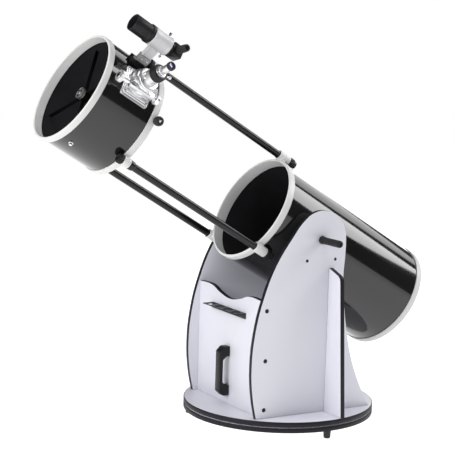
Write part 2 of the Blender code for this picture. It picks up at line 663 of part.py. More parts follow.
# ---- focuser --------------------------------------------------------------------------
def build_focuser():
    frame = radial_frame("focuser_axis", cage, FOCUSER_ANGLE, FOCUSER_S)
    base = box("focuser_base", "silver", (101 * MM, 100 * MM, 44 * MM), 2 * MM)
    place(base, frame, (-4.5 * MM, 0, 178 * MM))
    saddle = rod("focuser_saddle", None, TUBE_RADIUS + GAP, -150 * MM, 150 * MM, LARGE)
    place(saddle, frame, (0, 0, 0), (0, 1, 0))
    tower = turned("focuser_tower", None, [
        (0, 232 * MM), (35 * MM, 232 * MM), (36 * MM, 218 * MM), (43 * MM, 198 * MM),
        (43 * MM, 150 * MM), (0, 150 * MM)], MEDIUM)
    place(tower, frame)
    join(base, tower)
    bridge = box("focuser_bridge", None, (20 * MM, 88 * MM, 24 * MM))
    place(bridge, frame, (SHAFT_OFFSET, 0, SHAFT_R - 3 * MM))
    join(base, bridge)
    cut(base, saddle)
    bore = rod("focuser_bore", None, DRAWTUBE_RADIUS + 0.4 * MM, 120 * MM, 260 * MM, MEDIUM)
    place(bore, frame)
    cut(base, bore)
    shaft_hole = rod("shaft_hole", None, SHAFT_RADIUS + GAP, -70 * MM, 70 * MM, 16)
    place(shaft_hole, frame, (SHAFT_OFFSET, 0, SHAFT_R), (0, 1, 0))
    cut(base, shaft_hole)

    barrel_bore = EYEPIECE_BARREL + 0.35 * MM
    drawtube = turned("focuser_drawtube", "silver", [
        (COLLAR_RADIUS - 1 * MM, COLLAR_TOP), (COLLAR_RADIUS, COLLAR_TOP - 1.5 * MM),
        (COLLAR_RADIUS, COLLAR_TOP - 23 * MM), (DRAWTUBE_RADIUS, COLLAR_TOP - 24 * MM),
        (DRAWTUBE_RADIUS, 160 * MM), (DRAWTUBE_RADIUS - 2 * MM, 160 * MM),
        (DRAWTUBE_RADIUS - 2 * MM, COLLAR_TOP - 4 * MM), (barrel_bore, COLLAR_TOP - 4 * MM),
        (barrel_bore, COLLAR_TOP)], MEDIUM, closed=True)
    place(drawtube, frame)

    knobs = turned("focus_knobs", "silver", [
        (0, 90 * MM), (7 * MM, 90 * MM), (7 * MM, 88.5 * MM), (17 * MM, 88.5 * MM),
        (18.5 * MM, 87 * MM), (18.5 * MM, 74.5 * MM), (17 * MM, 73 * MM),
        (9 * MM, 73 * MM), (9 * MM, 52 * MM), (SHAFT_RADIUS, 52 * MM),
        (SHAFT_RADIUS, -45.5 * MM), (6 * MM, -45.5 * MM), (6 * MM, -51.5 * MM),
        (14.5 * MM, -51.5 * MM), (16 * MM, -53 * MM), (16 * MM, -62.5 * MM),
        (14.5 * MM, -64 * MM), (0, -64 * MM)], 20)
    place(knobs, frame, (SHAFT_OFFSET, 0, SHAFT_R), (0, 1, 0))

    eyepiece = turned("eyepiece", "black_plastic", [
        (0, 336 * MM), (9.5 * MM, 338 * MM), (13 * MM, 338 * MM), (13.5 * MM, 336 * MM),
        (13.5 * MM, 326 * MM), (11.5 * MM, 324 * MM), (11.5 * MM, 289 * MM),
        (17.5 * MM, 287.5 * MM), (17.5 * MM, COLLAR_TOP + GAP),
        (EYEPIECE_BARREL, COLLAR_TOP + GAP), (EYEPIECE_BARREL, 264 * MM), (14 * MM, 264 * MM),
        (14 * MM, 283 * MM), (0, 283 * MM)], 24)
    place(eyepiece, frame)
    screw_tip = COLLAR_RADIUS + GAP
    screw = turned("eyepiece_clamp_screw", "chrome", [
        (0, 46 * MM), (4.5 * MM, 46 * MM), (4.5 * MM, 35 * MM), (2 * MM, 35 * MM),
        (2 * MM, screw_tip), (0, screw_tip)], SMALL)
    place(screw, frame, (0, 0, COLLAR_TOP - 11 * MM), around(CLAMP_SCREW_ANGLE, 1))


# ---- finder ---------------------------------------------------------------------------
def build_finder():
    frame = radial_frame("finder_mount", cage, FINDER_ANGLE, FINDER_S)
    shoe = box("finder_shoe", "black_plastic", (34 * MM, 50 * MM, 20 * MM), 1 * MM)
    place(shoe, frame, (0, 18 * MM, 185 * MM))
    under = rod("shoe_room", None, TUBE_RADIUS + GAP, -150 * MM, 150 * MM, LARGE)
    place(under, frame, (0, 0, 0), (0, 1, 0))
    cut(shoe, under)
    slot = box("shoe_slot", None, (22.6 * MM, 60 * MM, 8 * MM))
    place(slot, frame, (0, 18 * MM, 193 * MM))
    cut(shoe, slot)

    stalk_top = FINDER_R - 26 * MM
    foot_top = 217 * MM
    bracket = box("finder_bracket", "grey_bracket", (22 * MM, 40 * MM, 8 * MM))
    place(bracket, frame, (0, 14 * MM, 193.6 * MM))
    foot_low = 195.5 * MM
    foot = box("bracket_foot", None, (26 * MM, 37 * MM, foot_top - foot_low))
    place(foot, frame, (0, 8.5 * MM, (foot_top + foot_low) / 2))
    join(bracket, foot)
    stalk = box("bracket_stalk", None, (13 * MM, 33 * MM, stalk_top - foot_top + 6 * MM))
    place(stalk, frame, (0, 8 * MM, (stalk_top + foot_top) / 2))
    join(bracket, stalk)
    sleeve = rod("bracket_sleeve", None, 30 * MM, -22 * MM, 43 * MM, MEDIUM)
    place(sleeve, frame, (0, 0, FINDER_R), (0, 1, 0))
    join(bracket, sleeve)
    bore = rod("bracket_bore", None, 24.6 * MM, -60 * MM, 60 * MM, MEDIUM)
    place(bore, frame, (0, 0, FINDER_R), (0, 1, 0))
    cut(bracket, bore)

    tube = turned("finder_tube", "black_plastic", [
        (25 * MM, 116 * MM), (27 * MM, 115 * MM), (27 * MM, 60 * MM), (30 * MM, 57 * MM),
        (30 * MM, 46.5 * MM), (FINDER_TUBE_RADIUS, 44.5 * MM), (FINDER_TUBE_RADIUS, -30 * MM),
        (0, -30 * MM),
        (0, 90 * MM), (25 * MM, 90 * MM)], MEDIUM)
    mesh_loop_close(tube)
    place(tube, frame, (0, 0, FINDER_R), (0, 1, 0))
    eye_turn = math.radians(FINDER_ANGLE - FINDER_EYE_ANGLE)
    eye_way = (-math.sin(eye_turn), 0, math.cos(eye_turn))
    prism = box("prism_house", None, (40 * MM, 40 * MM, 44 * MM), 3 * MM)
    prism.parent = frame
    prism.matrix_local = (Matrix.Translation((0, PRISM_Y, FINDER_R))
                          @ Matrix.Rotation(-eye_turn, 4, "Y"))
    join(tube, prism)
    eye = turned("finder_eyepiece", "black_plastic", [
        (0, 66 * MM), (9 * MM, 68 * MM), (11 * MM, 66 * MM), (12 * MM, 54 * MM),
        (12 * MM, 30 * MM), (10 * MM, 22 * MM + GAP), (0, 22 * MM + GAP)], 20)
    place(eye, frame, (0, PRISM_Y, FINDER_R), eye_way)
    screw_tip = FINDER_TUBE_RADIUS + AIM_ROOM
    for i, angle in enumerate(FINDER_SCREW_ANGLES):
        screw = turned(f"finder_screw_{i + 1}", "chrome", [
            (0, 42 * MM), (4 * MM, 42 * MM), (4 * MM, 36 * MM), (1.8 * MM, 36 * MM),
            (1.8 * MM, screw_tip), (0, screw_tip)], SMALL)
        way = (math.sin(math.radians(angle)), 0, math.cos(math.radians(angle)))
        place(screw, frame, (0, FINDER_SCREW_Y, FINDER_R), way)
        hole = rod(f"finder_screw_hole_{i}", None, 2.2 * MM, 15 * MM, 45 * MM, 12)
        place(hole, frame, (0, FINDER_SCREW_Y, FINDER_R), way)
        cut(bracket, hole)


build_ground()
build_rocker()
build_lower_tube()
build_mirror_cell()
build_cage()
build_spider()
build_secondary()
build_focuser()
build_finder()
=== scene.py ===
import json
import math

import bmesh
import bpy
from mathutils import Matrix, Vector


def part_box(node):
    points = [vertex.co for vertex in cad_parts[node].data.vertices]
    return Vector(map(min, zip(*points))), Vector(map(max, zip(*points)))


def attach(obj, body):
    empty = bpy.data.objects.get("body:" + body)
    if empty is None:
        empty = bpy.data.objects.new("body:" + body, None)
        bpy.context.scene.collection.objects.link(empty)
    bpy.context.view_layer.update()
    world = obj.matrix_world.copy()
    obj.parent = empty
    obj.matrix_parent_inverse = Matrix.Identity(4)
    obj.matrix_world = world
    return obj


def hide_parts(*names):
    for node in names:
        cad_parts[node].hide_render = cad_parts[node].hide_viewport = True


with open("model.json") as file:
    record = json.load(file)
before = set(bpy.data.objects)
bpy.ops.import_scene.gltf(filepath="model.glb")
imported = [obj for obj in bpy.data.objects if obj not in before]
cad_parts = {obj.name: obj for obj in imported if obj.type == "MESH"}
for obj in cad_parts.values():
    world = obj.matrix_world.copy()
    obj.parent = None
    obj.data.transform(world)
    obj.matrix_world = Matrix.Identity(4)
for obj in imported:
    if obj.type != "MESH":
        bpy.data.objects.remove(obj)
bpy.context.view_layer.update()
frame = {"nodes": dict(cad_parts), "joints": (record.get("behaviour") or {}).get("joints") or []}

MM = 0.001
TAU = 2 * math.pi
JOINTS = {joint["name"]: joint for joint in frame["joints"]}


# ---- local frames, read from the joints ------------------------------------------------
def basis(origin, x, y, z):
    turn = Matrix((x, y, z)).transposed().to_4x4()
    return Matrix.Translation(origin) @ turn


def frame_along(origin, z, y=None):
    """A frame at a point with Z along a direction, and Y as near as it can be to y."""
    z = Vector(z).normalized()
    y = Vector(y) if y is not None else z.orthogonal()
    if y.normalized().cross(z).length < 0.01:
        y = z.orthogonal()
    x = y.cross(z).normalized()
    return basis(origin, x, z.cross(x), z)


TUBE_Z = Vector(JOINTS["cage_collapse"]["axis"]).normalized()
ACROSS = Vector((1, 0, 0))
TUBE = basis(JOINTS["altitude_tilt"]["pos_m"], ACROSS, TUBE_Z.cross(ACROSS), TUBE_Z)
AZIMUTH = Matrix.Translation((0, JOINTS["azimuth_turn"]["pos_m"][1], 0))


def local_box(node, place):
    """(lowest corner, highest corner) of a CAD node in a local frame."""
    back = place.inverted()
    points = [back @ v.co for v in frame["nodes"][node].data.vertices]
    low = Vector([min(p[i] for p in points) for i in range(3)])
    high = Vector([max(p[i] for p in points) for i in range(3)])
    return low, high


def axis_frame(joint):
    """A frame on a hinge's own axis."""
    return frame_along(JOINTS[joint]["pos_m"], JOINTS[joint]["axis"], TUBE_Z)


def radial_frame(direction, node):
    """Z outwards from the tube, Y forwards along it, at the middle of a node's length."""
    low, high = local_box(node, TUBE)
    origin = TUBE @ Vector((0, 0, (low.z + high.z) / 2))
    return frame_along(origin, direction, TUBE_Z)


FOCUSER = radial_frame(JOINTS["focus_slide"]["axis"], "focuser_drawtube")
TURN_TO_Y = Matrix.Rotation(-math.pi / 2, 4, "X")


# ---- materials -------------------------------------------------------------------------
def node_at(tree, kind, **values):
    made = tree.nodes.new(kind)
    for key, value in values.items():
        if key in made.inputs:
            made.inputs[key].default_value = value
        else:
            setattr(made, key, value)
    return made


def noise(tree, coordinates, scale, detail=4.0, stretch=(1, 1, 1)):
    mapping = node_at(tree, "ShaderNodeMapping")
    mapping.inputs["Scale"].default_value = stretch
    tree.links.new(coordinates, mapping.inputs["Vector"])
    texture = node_at(tree, "ShaderNodeTexNoise", Scale=scale, Detail=detail)
    tree.links.new(mapping.outputs["Vector"], texture.inputs["Vector"])
    return texture.outputs["Fac"]


def surface(name, colour, roughness, metallic=0.0, spread=0.06, patch=9.0, grain=400.0,
            bump=0.02, rough_spread=0.08, stretch=(1, 1, 1), coat=0.0, speck=0.0, gleam=0.5):
    """A material whose colour, roughness and fine relief vary over the surface.

    patch is the scale of the broad variation, grain that of the fine relief and specks.
    """
    made = bpy.data.materials.new(name)
    made.use_nodes = True
    tree = made.node_tree
    shader = tree.nodes["Principled BSDF"]
    shader.inputs["Metallic"].default_value = metallic
    shader.inputs["Coat Weight"].default_value = coat
    shader.inputs["Specular IOR Level"].default_value = gleam
    shader.inputs["Coat Roughness"].default_value = 0.06
    place = node_at(tree, "ShaderNodeTexCoord").outputs["Object"]
    broad = noise(tree, place, patch, 5.0, stretch)
    fine = noise(tree, place, grain, 3.0, stretch)

    tint = node_at(tree, "ShaderNodeValToRGB")
    tint.color_ramp.elements[0].position = 0.3
    tint.color_ramp.elements[1].position = 0.7
    tint.color_ramp.elements[0].color = (*[c * (1 - spread) for c in colour], 1)
    tint.color_ramp.elements[1].color = (*[min(1, c * (1 + spread)) for c in colour], 1)
    tree.links.new(broad, tint.inputs["Fac"])
    shade = tint.outputs["Color"]
    if speck:
        dots = node_at(tree, "ShaderNodeMapRange")
        dots.inputs["From Min"].default_value = 0.35
        dots.inputs["From Max"].default_value = 0.65
        dots.inputs["To Min"].default_value = 1 - speck
        dots.inputs["To Max"].default_value = 1 + speck
        tree.links.new(fine, dots.inputs["Value"])
        mix = node_at(tree, "ShaderNodeVectorMath", operation="MULTIPLY")
        tree.links.new(shade, mix.inputs[0])
        tree.links.new(dots.outputs["Result"], mix.inputs[1])
        shade = mix.outputs["Vector"]
    tree.links.new(shade, shader.inputs["Base Color"])

    gloss = node_at(tree, "ShaderNodeMapRange")
    gloss.inputs["To Min"].default_value = max(0.01, roughness - rough_spread)
    gloss.inputs["To Max"].default_value = roughness + rough_spread
    tree.links.new(broad, gloss.inputs["Value"])
    tree.links.new(gloss.outputs["Result"], shader.inputs["Roughness"])

    relief = node_at(tree, "ShaderNodeBump", Strength=0.35, Distance=bump * MM)
    tree.links.new(fine, relief.inputs["Height"])
    tree.links.new(relief.outputs["Normal"], shader.inputs["Normal"])
    return made


WHITE_BOARD = surface("white_laminate", (0.70, 0.70, 0.765), 0.42, spread=0.02, patch=3,
                      grain=900, bump=0.05, speck=0.02)
EDGE_BAND = surface("black_edge_band", (0.010, 0.009, 0.013), 0.5, spread=0.2, grain=700,
                    bump=0.06, gleam=0.25)
TUBE_BLACK = surface("gloss_black_enamel", (0.008, 0.007, 0.007), 0.10, spread=0.15, patch=4,
                     grain=260, bump=0.015, rough_spread=0.03, coat=0.5)
TUBE_INSIDE = surface("matt_black_lining", (0.016, 0.016, 0.018), 0.85, spread=0.2, grain=1200,
                      bump=0.15, gleam=0.1)
RING_WHITE = surface("white_powder_coat", (0.68, 0.68, 0.67), 0.34, spread=0.02, patch=6,
                     grain=1100, bump=0.06, rough_spread=0.05)
PLASTIC = surface("black_moulded_plastic", (0.009, 0.009, 0.010), 0.40, spread=0.15, grain=1400,
                  bump=0.08, gleam=0.3)
ROD_BLACK = surface("anodised_black_rod", (0.010, 0.010, 0.011), 0.24, 0.3, spread=0.15,
                    patch=6, grain=900, bump=0.02, stretch=(4, 1, 1))
SILVER = surface("machined_aluminium", (0.84, 0.84, 0.85), 0.34, 1.0, spread=0.05, patch=20,
                 grain=1500, bump=0.03, stretch=(1, 6, 1))
CHROME = surface("bright_chrome", (0.80, 0.80, 0.82), 0.09, 1.0, spread=0.03, patch=30,
                 grain=900, bump=0.01, rough_spread=0.03)
STEEL = surface("brushed_steel", (0.40, 0.40, 0.41), 0.36, 1.0, spread=0.08, patch=20,
                grain=1200, bump=0.05, stretch=(8, 1, 1))
NYLON = surface("natural_nylon", (0.70, 0.70, 0.66), 0.5, spread=0.03, grain=900, bump=0.05)
RUBBER = surface("matt_rubber", (0.016, 0.016, 0.016), 0.72, spread=0.2, grain=1600, bump=0.2)
MIRROR = surface("aluminised_glass", (0.88, 0.90, 0.92), 0.03, 1.0, spread=0.01, patch=5,
                 grain=60, bump=0.001, rough_spread=0.01)
GLASS_SIDE = surface("ground_glass_edge", (0.42, 0.50, 0.48), 0.55, spread=0.05, grain=900,
                     bump=0.1)
EYE_GLASS = surface("dark_eye_glass", (0.012, 0.011, 0.016), 0.12, 0.0, spread=0.2, patch=60,
                    grain=60, gleam=0.3)
LENS = surface("coated_lens", (0.10, 0.06, 0.20), 0.05, 0.6, spread=0.25, patch=60, grain=60,
               bump=0.001, rough_spread=0.01, coat=1.0)
VANE_BLACK = surface("matt_black_vane", (0.003, 0.003, 0.003), 0.7, spread=0.2, grain=1400,
                     bump=0.05, gleam=0.1)
DARK_CAST = surface("dark_cast_foot", (0.30, 0.30, 0.305), 0.36, 0.35, spread=0.06, patch=20,
                    grain=1200, bump=0.08)
GREY_CAST = surface("grey_cast_bracket", (0.64, 0.64, 0.65), 0.40, 0.1, spread=0.04, patch=20,
                    grain=1200, bump=0.08)


# ---- mesh tools ------------------------------------------------------------------------
def settle(obj, body, slot, *nodes):
    """Ride on a body and stand for CAD nodes. The slot argument is not used."""
    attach(obj, body)
    if nodes:
        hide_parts(*nodes)
    return obj


def to_object(shape, name, place, finishes, sharp=35):
    bmesh.ops.recalc_face_normals(shape, faces=shape.faces)
    mesh = bpy.data.meshes.new(name)
    shape.to_mesh(mesh)
    shape.free()
    mesh.transform(place)
    for finish in finishes:
        mesh.materials.append(finish)
    mesh.shade_smooth()
    mesh.set_sharp_from_angle(angle=math.radians(sharp))
    obj = bpy.data.objects.new(name, mesh)
    bpy.context.scene.collection.objects.link(obj)
    return obj


def lathe_into(shape, profile, steps=64, closed=False, bands=None, ripple=None, at=None):
    """Turn a (radius, height) profile round Z. bands gives each segment's material.

    ripple is (first point, last point, number of ridges, depth).
    """
    rows = []
    for i, (radius, height) in enumerate(profile):
        if radius < 1e-7:
            rows.append([shape.verts.new((0, 0, height))])
            continue
        row = []
        for k in range(steps):
            angle = TAU * k / steps
            r = radius
            if ripple and ripple[0] <= i <= ripple[1]:
                r += ripple[3] * (math.cos(ripple[2] * angle) - 1) / 2
            row.append(shape.verts.new((r * math.cos(angle), r * math.sin(angle), height)))
        rows.append(row)
    count = len(rows) if closed else len(rows) - 1
    for i in range(count):
        upper = rows[i]
        lower = rows[(i + 1) % len(rows)]
        for k in range(steps):
            ring = [upper[k % len(upper)], lower[k % len(lower)],
                    lower[(k + 1) % len(lower)], upper[(k + 1) % len(upper)]]
            corners = []
            for vert in ring:
                if vert not in corners:
                    corners.append(vert)
            if len(corners) < 3:
                continue
            face = shape.faces.new(corners)
            if bands:
                face.material_index = bands[i]
    if at is not None:
        verts = [v for row in rows for v in row]
        bmesh.ops.transform(shape, matrix=at, verts=verts)
    return rows


def lathe(name, profile, place, finishes, steps=64, closed=False, bands=None, ripple=None,
          sharp=35):
    shape = bmesh.new()
    lathe_into(shape, profile, steps, closed, bands, ripple)
    return to_object(shape, name, place, finishes, sharp)


def below(top, *points):
    """A profile given in millimetres: each point's radius and its depth under the top."""
    return [(radius * MM, top - depth * MM) for radius, depth in points]


def rounded(points, radius, steps=3, closed=True):
    """Round the corners of a profile or an outline."""
    result = []
    count = len(points)
    for i, point in enumerate(points):
        here = Vector(point)
        if not closed and i in (0, count - 1):
            result.append(tuple(here))
            continue
        before = Vector(points[i - 1]) - here
        after = Vector(points[(i + 1) % count]) - here
        reach = min(radius, before.length * 0.45, after.length * 0.45)
        if reach < 1e-6:
            result.append(tuple(here))
            continue
        start = here + before.normalized() * reach
        end = here + after.normalized() * reach
        for k in range(steps + 1):
            t = k / steps
            result.append(tuple(start * (1 - t) ** 2 + here * 2 * t * (1 - t) + end * t * t))
    return result


def block_into(shape, size, at, bevel=0.0, material=0):
    """A block with rounded edges, placed by a matrix."""
    made = bmesh.ops.create_cube(shape, size=1)["verts"]
    bmesh.ops.scale(shape, vec=size, verts=made)
    faces = {face for vert in made for face in vert.link_faces}
    if bevel:
        edges = list({edge for vert in made for edge in vert.link_edges})
        result = bmesh.ops.bevel(shape, geom=edges, offset=bevel, segments=2, affect="EDGES",
                                 profile=0.5)
        made = list({v for f in result["faces"] for v in f.verts}
                    | {v for v in made if v.is_valid})
        faces = {face for vert in made for face in vert.link_faces}
    for face in faces:
        face.material_index = material
    bmesh.ops.transform(shape, matrix=at, verts=list({v for f in faces for v in f.verts}))


def refined(node, finishes, bevel=0.8 * MM, edge_axis=None, sharp=35, width_limit=25):
    """A CAD node's own shape with clean faces and rounded edges.

    With edge_axis, faces square to it keep the first finish and the rim takes the second.
    """
    shape = bmesh.new()
    shape.from_mesh(frame["nodes"][node].data)
    bmesh.ops.remove_doubles(shape, verts=shape.verts, dist=0.00002)
    bmesh.ops.dissolve_limit(shape, angle_limit=math.radians(0.6), verts=shape.verts,
                             edges=shape.edges)
    if bevel:
        hard = [edge for edge in shape.edges if len(edge.link_faces) == 2
                and edge.calc_face_angle(0) > math.radians(width_limit)]
        bmesh.ops.bevel(shape, geom=hard, offset=bevel, segments=2, affect="EDGES",
                        profile=0.5, clamp_overlap=True)
    if edge_axis is not None:
        shape.normal_update()
        for face in shape.faces:
            flat = abs(face.normal.dot(Vector(edge_axis))) > 0.9
            face.material_index = 0 if flat else 1
    return to_object(shape, node + "_shape", Matrix.Identity(4), finishes, sharp)


def keep(node, finish, sharp=30):
    """Show a CAD node as it is, shaded smooth, with its own material."""
    obj = frame["nodes"][node]
    obj.data.materials.clear()
    obj.data.materials.append(finish)
    obj.data.shade_smooth()
    obj.data.set_sharp_from_angle(angle=math.radians(sharp))


def screw_into(shape, radius, height, at, material=0, slot_depth=0.35):
    """A domed screw head with a small round recess, its base at the frame's origin."""
    profile = [(0, height * (1 - slot_depth)), (radius * 0.14, height * (1 - slot_depth)),
               (radius * 0.22, height * 0.98), (radius * 0.6, height * 0.86),
               (radius * 0.9, height * 0.5), (radius, height * 0.1), (radius, -0.4 * MM),
               (0, -0.4 * MM)]
    rows = lathe_into(shape, profile, 20, at=at)
    for row in rows:
        for vert in row:
            for face in vert.link_faces:
                face.material_index = material


# ---- base boards and rocker box --------------------------------------------------------
def build_boards():
    for node, body in (("ground_board", "ground"), ("rotating_board", "rocker")):
        low, high = local_box(node, AZIMUTH)
        radius = high.x
        hole = 7 * MM if node == "rotating_board" else 5.6 * MM
        profile = [(hole, high.z), (radius - 2.4 * MM, high.z),
                   (radius - 0.8 * MM, high.z - 0.4 * MM), (radius, high.z - 2 * MM),
                   (radius, low.z + 2 * MM), (radius - 0.8 * MM, low.z + 0.4 * MM),
                   (radius - 2.4 * MM, low.z), (hole, low.z)]
        board = lathe(node + "_shape", profile, AZIMUTH, [WHITE_BOARD, EDGE_BAND], 160, True,
                      [0, 1, 1, 1, 1, 1, 0, 0])
        settle(board, body, "laminate", node)
    for node in ("foot_right", "foot_left_front", "foot_left_rear"):
        low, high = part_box(node)
        place = Matrix.Translation(((low.x + high.x) / 2, (low.y + high.y) / 2, 0))
        profile = below(high.z, (0, 0), (13, 0), (13, 4), (12.2, 5))
        profile += below(0, (10.8, -3), (10, -0.8), (8.6, 0), (3, 0), (2.6, -1.5), (0, -1.5))
        settle(lathe(node + "_shape", profile, place, [RUBBER], 40), "ground", "rubber", node)
    keep("azimuth_bolt", STEEL)
    keep("azimuth_lock_nut", STEEL)
    keep("roller_bearing", STEEL)


def screws_on_panel(label, side):
    """The dark cap-headed screws that hold the front board and the bearing posts."""
    low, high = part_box("side_panel_" + label)
    face = high.x if side > 0 else low.x
    board_low, board_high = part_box("front_board")
    line = (board_low.y + board_high.y) / 2 + 3 * MM
    bottom = board_low.z
    spots = [(line, bottom + h * MM, 7 * MM) for h in (28, 187, 348)]
    for where in ("front", "rear"):
        post_low, post_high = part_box(f"bearing_post_{label}_{where}")
        middle = (post_low + post_high) / 2
        spots.append((middle.y, middle.z, 5 * MM))
    shape = bmesh.new()
    for y, z, radius in spots:
        at = frame_along((face, y, z), (side, 0, 0))
        screw_into(shape, radius, 1.8 * MM, at)
    caps = to_object(shape, f"panel_screws_{label}", Matrix.Identity(4), [PLASTIC])
    settle(caps, "rocker", "black_plastic")


def build_rocker():
    for label, side in (("right", 1), ("left", -1)):
        panel = refined("side_panel_" + label, [WHITE_BOARD, EDGE_BAND], 1.0 * MM, (1, 0, 0))
        settle(panel, "rocker", "laminate", "side_panel_" + label)
        brace = refined("panel_brace_" + label, [WHITE_BOARD, EDGE_BAND], 1.0 * MM, (0, 1, 0))
        settle(brace, "rocker", "laminate", "panel_brace_" + label)
        screws_on_panel(label, side)
        for where in ("front", "rear"):
            node = f"bearing_post_{label}_{where}"
            post = refined(node, [NYLON], 1.2 * MM)
            settle(post, "rocker", "nylon", node)
    front = refined("front_board", [WHITE_BOARD, EDGE_BAND], 1.0 * MM, (0, 1, 0))
    settle(front, "rocker", "laminate", "front_board")
    settle(refined("carry_handle", [PLASTIC], 0), "rocker", "black_plastic", "carry_handle")
    settle(refined("eyepiece_rack", [PLASTIC], 0.7 * MM), "rocker", "black_plastic",
           "eyepiece_rack")


# ---- tubes and end rings ---------------------------------------------------------------
SHELL_WALL = 1.8 * MM
RIM_SOFTNESS = 5.0 * MM
LIP_WALL = 1.9 * MM


def build_shell(node, body):
    low, high = local_box(node, TUBE)
    outer = high.x
    inner = outer - SHELL_WALL
    profile = [(outer, high.z), (outer, low.z), (inner, low.z), (inner, high.z)]
    shell = lathe(node + "_shape", profile, TUBE, [TUBE_BLACK, TUBE_INSIDE], 192, True,
                  [0, 1, 1, 1])
    settle(shell, body, "black_tube", node)


def bent(corners, sizes, steps=5):
    """Round each corner of a closed profile by its own size."""
    points = []
    for i, corner in enumerate(corners):
        here = Vector(corner)
        before = Vector(corners[i - 1]) - here
        after = Vector(corners[(i + 1) % len(corners)]) - here
        start = here + before.normalized() * sizes[i]
        end = here + after.normalized() * sizes[i]
        for k in range(steps + 1):
            t = k / steps
            points.append(tuple(start * (1 - t) ** 2 + here * 2 * t * (1 - t) + end * t * t))
    return points


def ring_profile(outer, inner, low, high, front_edge, lip):
    """A rolled casting with a full round over its free edge and a lip inside the tube."""
    soft = RIM_SOFTNESS
    inside = inner + LIP_WALL
    if front_edge:
        corners = [(inner, high), (outer, high), (outer, low), (inside, low), (inside, low - lip),
                   (inner, low - lip)]
        sizes = [2 * MM, soft, 1 * MM, 0.3 * MM, 0.5 * MM, 0.5 * MM]
    else:
        corners = [(inner, high + lip), (inside, high + lip), (inside, high), (outer, high),
                   (outer, low), (inner, low)]
        sizes = [0.5 * MM, 0.5 * MM, 0.3 * MM, 1 * MM, soft, 2 * MM]
    return bent(corners, sizes)


RING_INNER = local_box("mirror_cell_frame", TUBE)[1].x + 0.3 * MM
RING_OUTER = 181.4 * MM
RING_DEPTH = 22.4 * MM
RODS = ("top", "right", "left")
LUG_RADIUS = 16 * MM
LUG_SOFTNESS = 1.6 * MM
WEB_SIZE = (14 * MM, 31 * MM, RING_DEPTH - 3 * MM)
TAPER_LENGTH = 21 * MM
ROD_ROOM = 0.5 * MM
CAP_ROOM = 0.3 * MM


def build_ring(node, body, front_edge, span, lip):
    low, high = span
    profile = ring_profile(RING_OUTER, RING_INNER, low, high, front_edge, lip)
    settle(lathe(node + "_shape", profile, TUBE, [RING_WHITE], 192, True), body, "white_ring",
           node)


def rod_radius(label, place):
    low, high = local_box("truss_rod_" + label, place)
    return (high.x - low.x) / 2


def build_lugs(name, body, low, high):
    """The eyes on the outside of a ring, one round each truss rod."""
    shape = bmesh.new()
    for label in RODS:
        rod_low, rod_high = local_box("truss_rod_" + label, TUBE)
        centre = (rod_low + rod_high) / 2
        angle = math.atan2(centre.y, centre.x)
        at = Matrix.Translation((centre.x, centre.y, 0))
        bore = rod_radius(label, TUBE) + ROD_ROOM
        profile = rounded([(LUG_RADIUS, high), (LUG_RADIUS, low), (bore, low), (bore, high)],
                          LUG_SOFTNESS, 3)
        lathe_into(shape, profile, 40, True, at=at)
        reach = math.hypot(centre.x, centre.y) - 11 * MM
        web_at = (Matrix.Rotation(angle, 4, "Z")
                  @ Matrix.Translation((reach, 0, ring_middle(body))))
        block_into(shape, WEB_SIZE, web_at, 2.5 * MM)
    settle(to_object(shape, name, TUBE, [RING_WHITE]), body, "white_ring")


def ring_middle(body):
    if body == "tube":
        return local_box("lower_tube", TUBE)[1].z + RING_DEPTH / 2
    return local_box("upper_tube", TUBE)[0].z - RING_DEPTH / 2


def build_tubes():
    build_shell("lower_tube", "tube")
    build_shell("upper_tube", "cage")
    lower_low, lower_high = local_box("lower_tube", TUBE)
    upper_low, upper_high = local_box("upper_tube", TUBE)
    mouth = local_box("upper_front_ring", TUBE)[1].z
    build_ring("lower_front_ring", "tube", True, (lower_high.z, lower_high.z + RING_DEPTH), 16 * MM)
    build_ring("lower_rear_ring", "tube", False, (lower_low.z - RING_DEPTH, lower_low.z), 16 * MM)
    build_ring("upper_front_ring", "cage", True, (upper_high.z, mouth), 8 * MM)
    build_ring("upper_rear_ring", "cage", False, (upper_low.z - RING_DEPTH, upper_low.z), 10 * MM)
    build_eyes_and_rods()


def build_eyes_and_rods():
    front_high = local_box("lower_front_ring", TUBE)[1].z
    lock_high = local_box("truss_lock_knob_top", TUBE)[1].z
    build_lugs("lower_ring_eyes", "tube", lock_high + 1 * MM, front_high)
    rear_low = local_box("upper_rear_ring", TUBE)[0]
    cap_low = local_box("rod_fixing_knob_top", TUBE)[0].z
    build_lugs("upper_ring_eyes", "cage", rear_low.z, cap_low - 1 * MM)
    for label in RODS:
        node = "truss_rod_" + label
        low, high = local_box(node, TUBE)
        centre = (low + high) / 2
        radius = rod_radius(label, TUBE)
        place = TUBE @ Matrix.Translation((centre.x, centre.y, 0))
        taper = rear_low.z - TAPER_LENGTH
        profile = rounded([(0, high.z), (radius, high.z), (radius, rear_low.z),
                           (radius + 3.6 * MM, rear_low.z), (radius + 2.4 * MM, taper + 6 * MM),
                           (radius, taper), (radius, low.z + 6 * MM),
                           (radius, low.z), (0, low.z)], 1.2 * MM, 3, closed=False)
        settle(lathe(node + "_shape", profile, place, [ROD_BLACK], 40), "cage", "rod_black", node)


# ---- knobs -----------------------------------------------------------------------------
def knob_profile(length, radius, stem, stem_length):
    return [(0, length - 1.6 * MM), (radius * 0.42, length - 1.6 * MM),
            (radius * 0.48, length - 0.3 * MM), (radius * 0.86, length),
            (radius * 0.97, length - 1.2 * MM), (radius, length - 3 * MM),
            (radius, stem_length + 3 * MM), (radius * 0.93, stem_length + 1 * MM),
            (radius * 0.7, stem_length), (stem, stem_length), (stem, 0), (0, 0)]


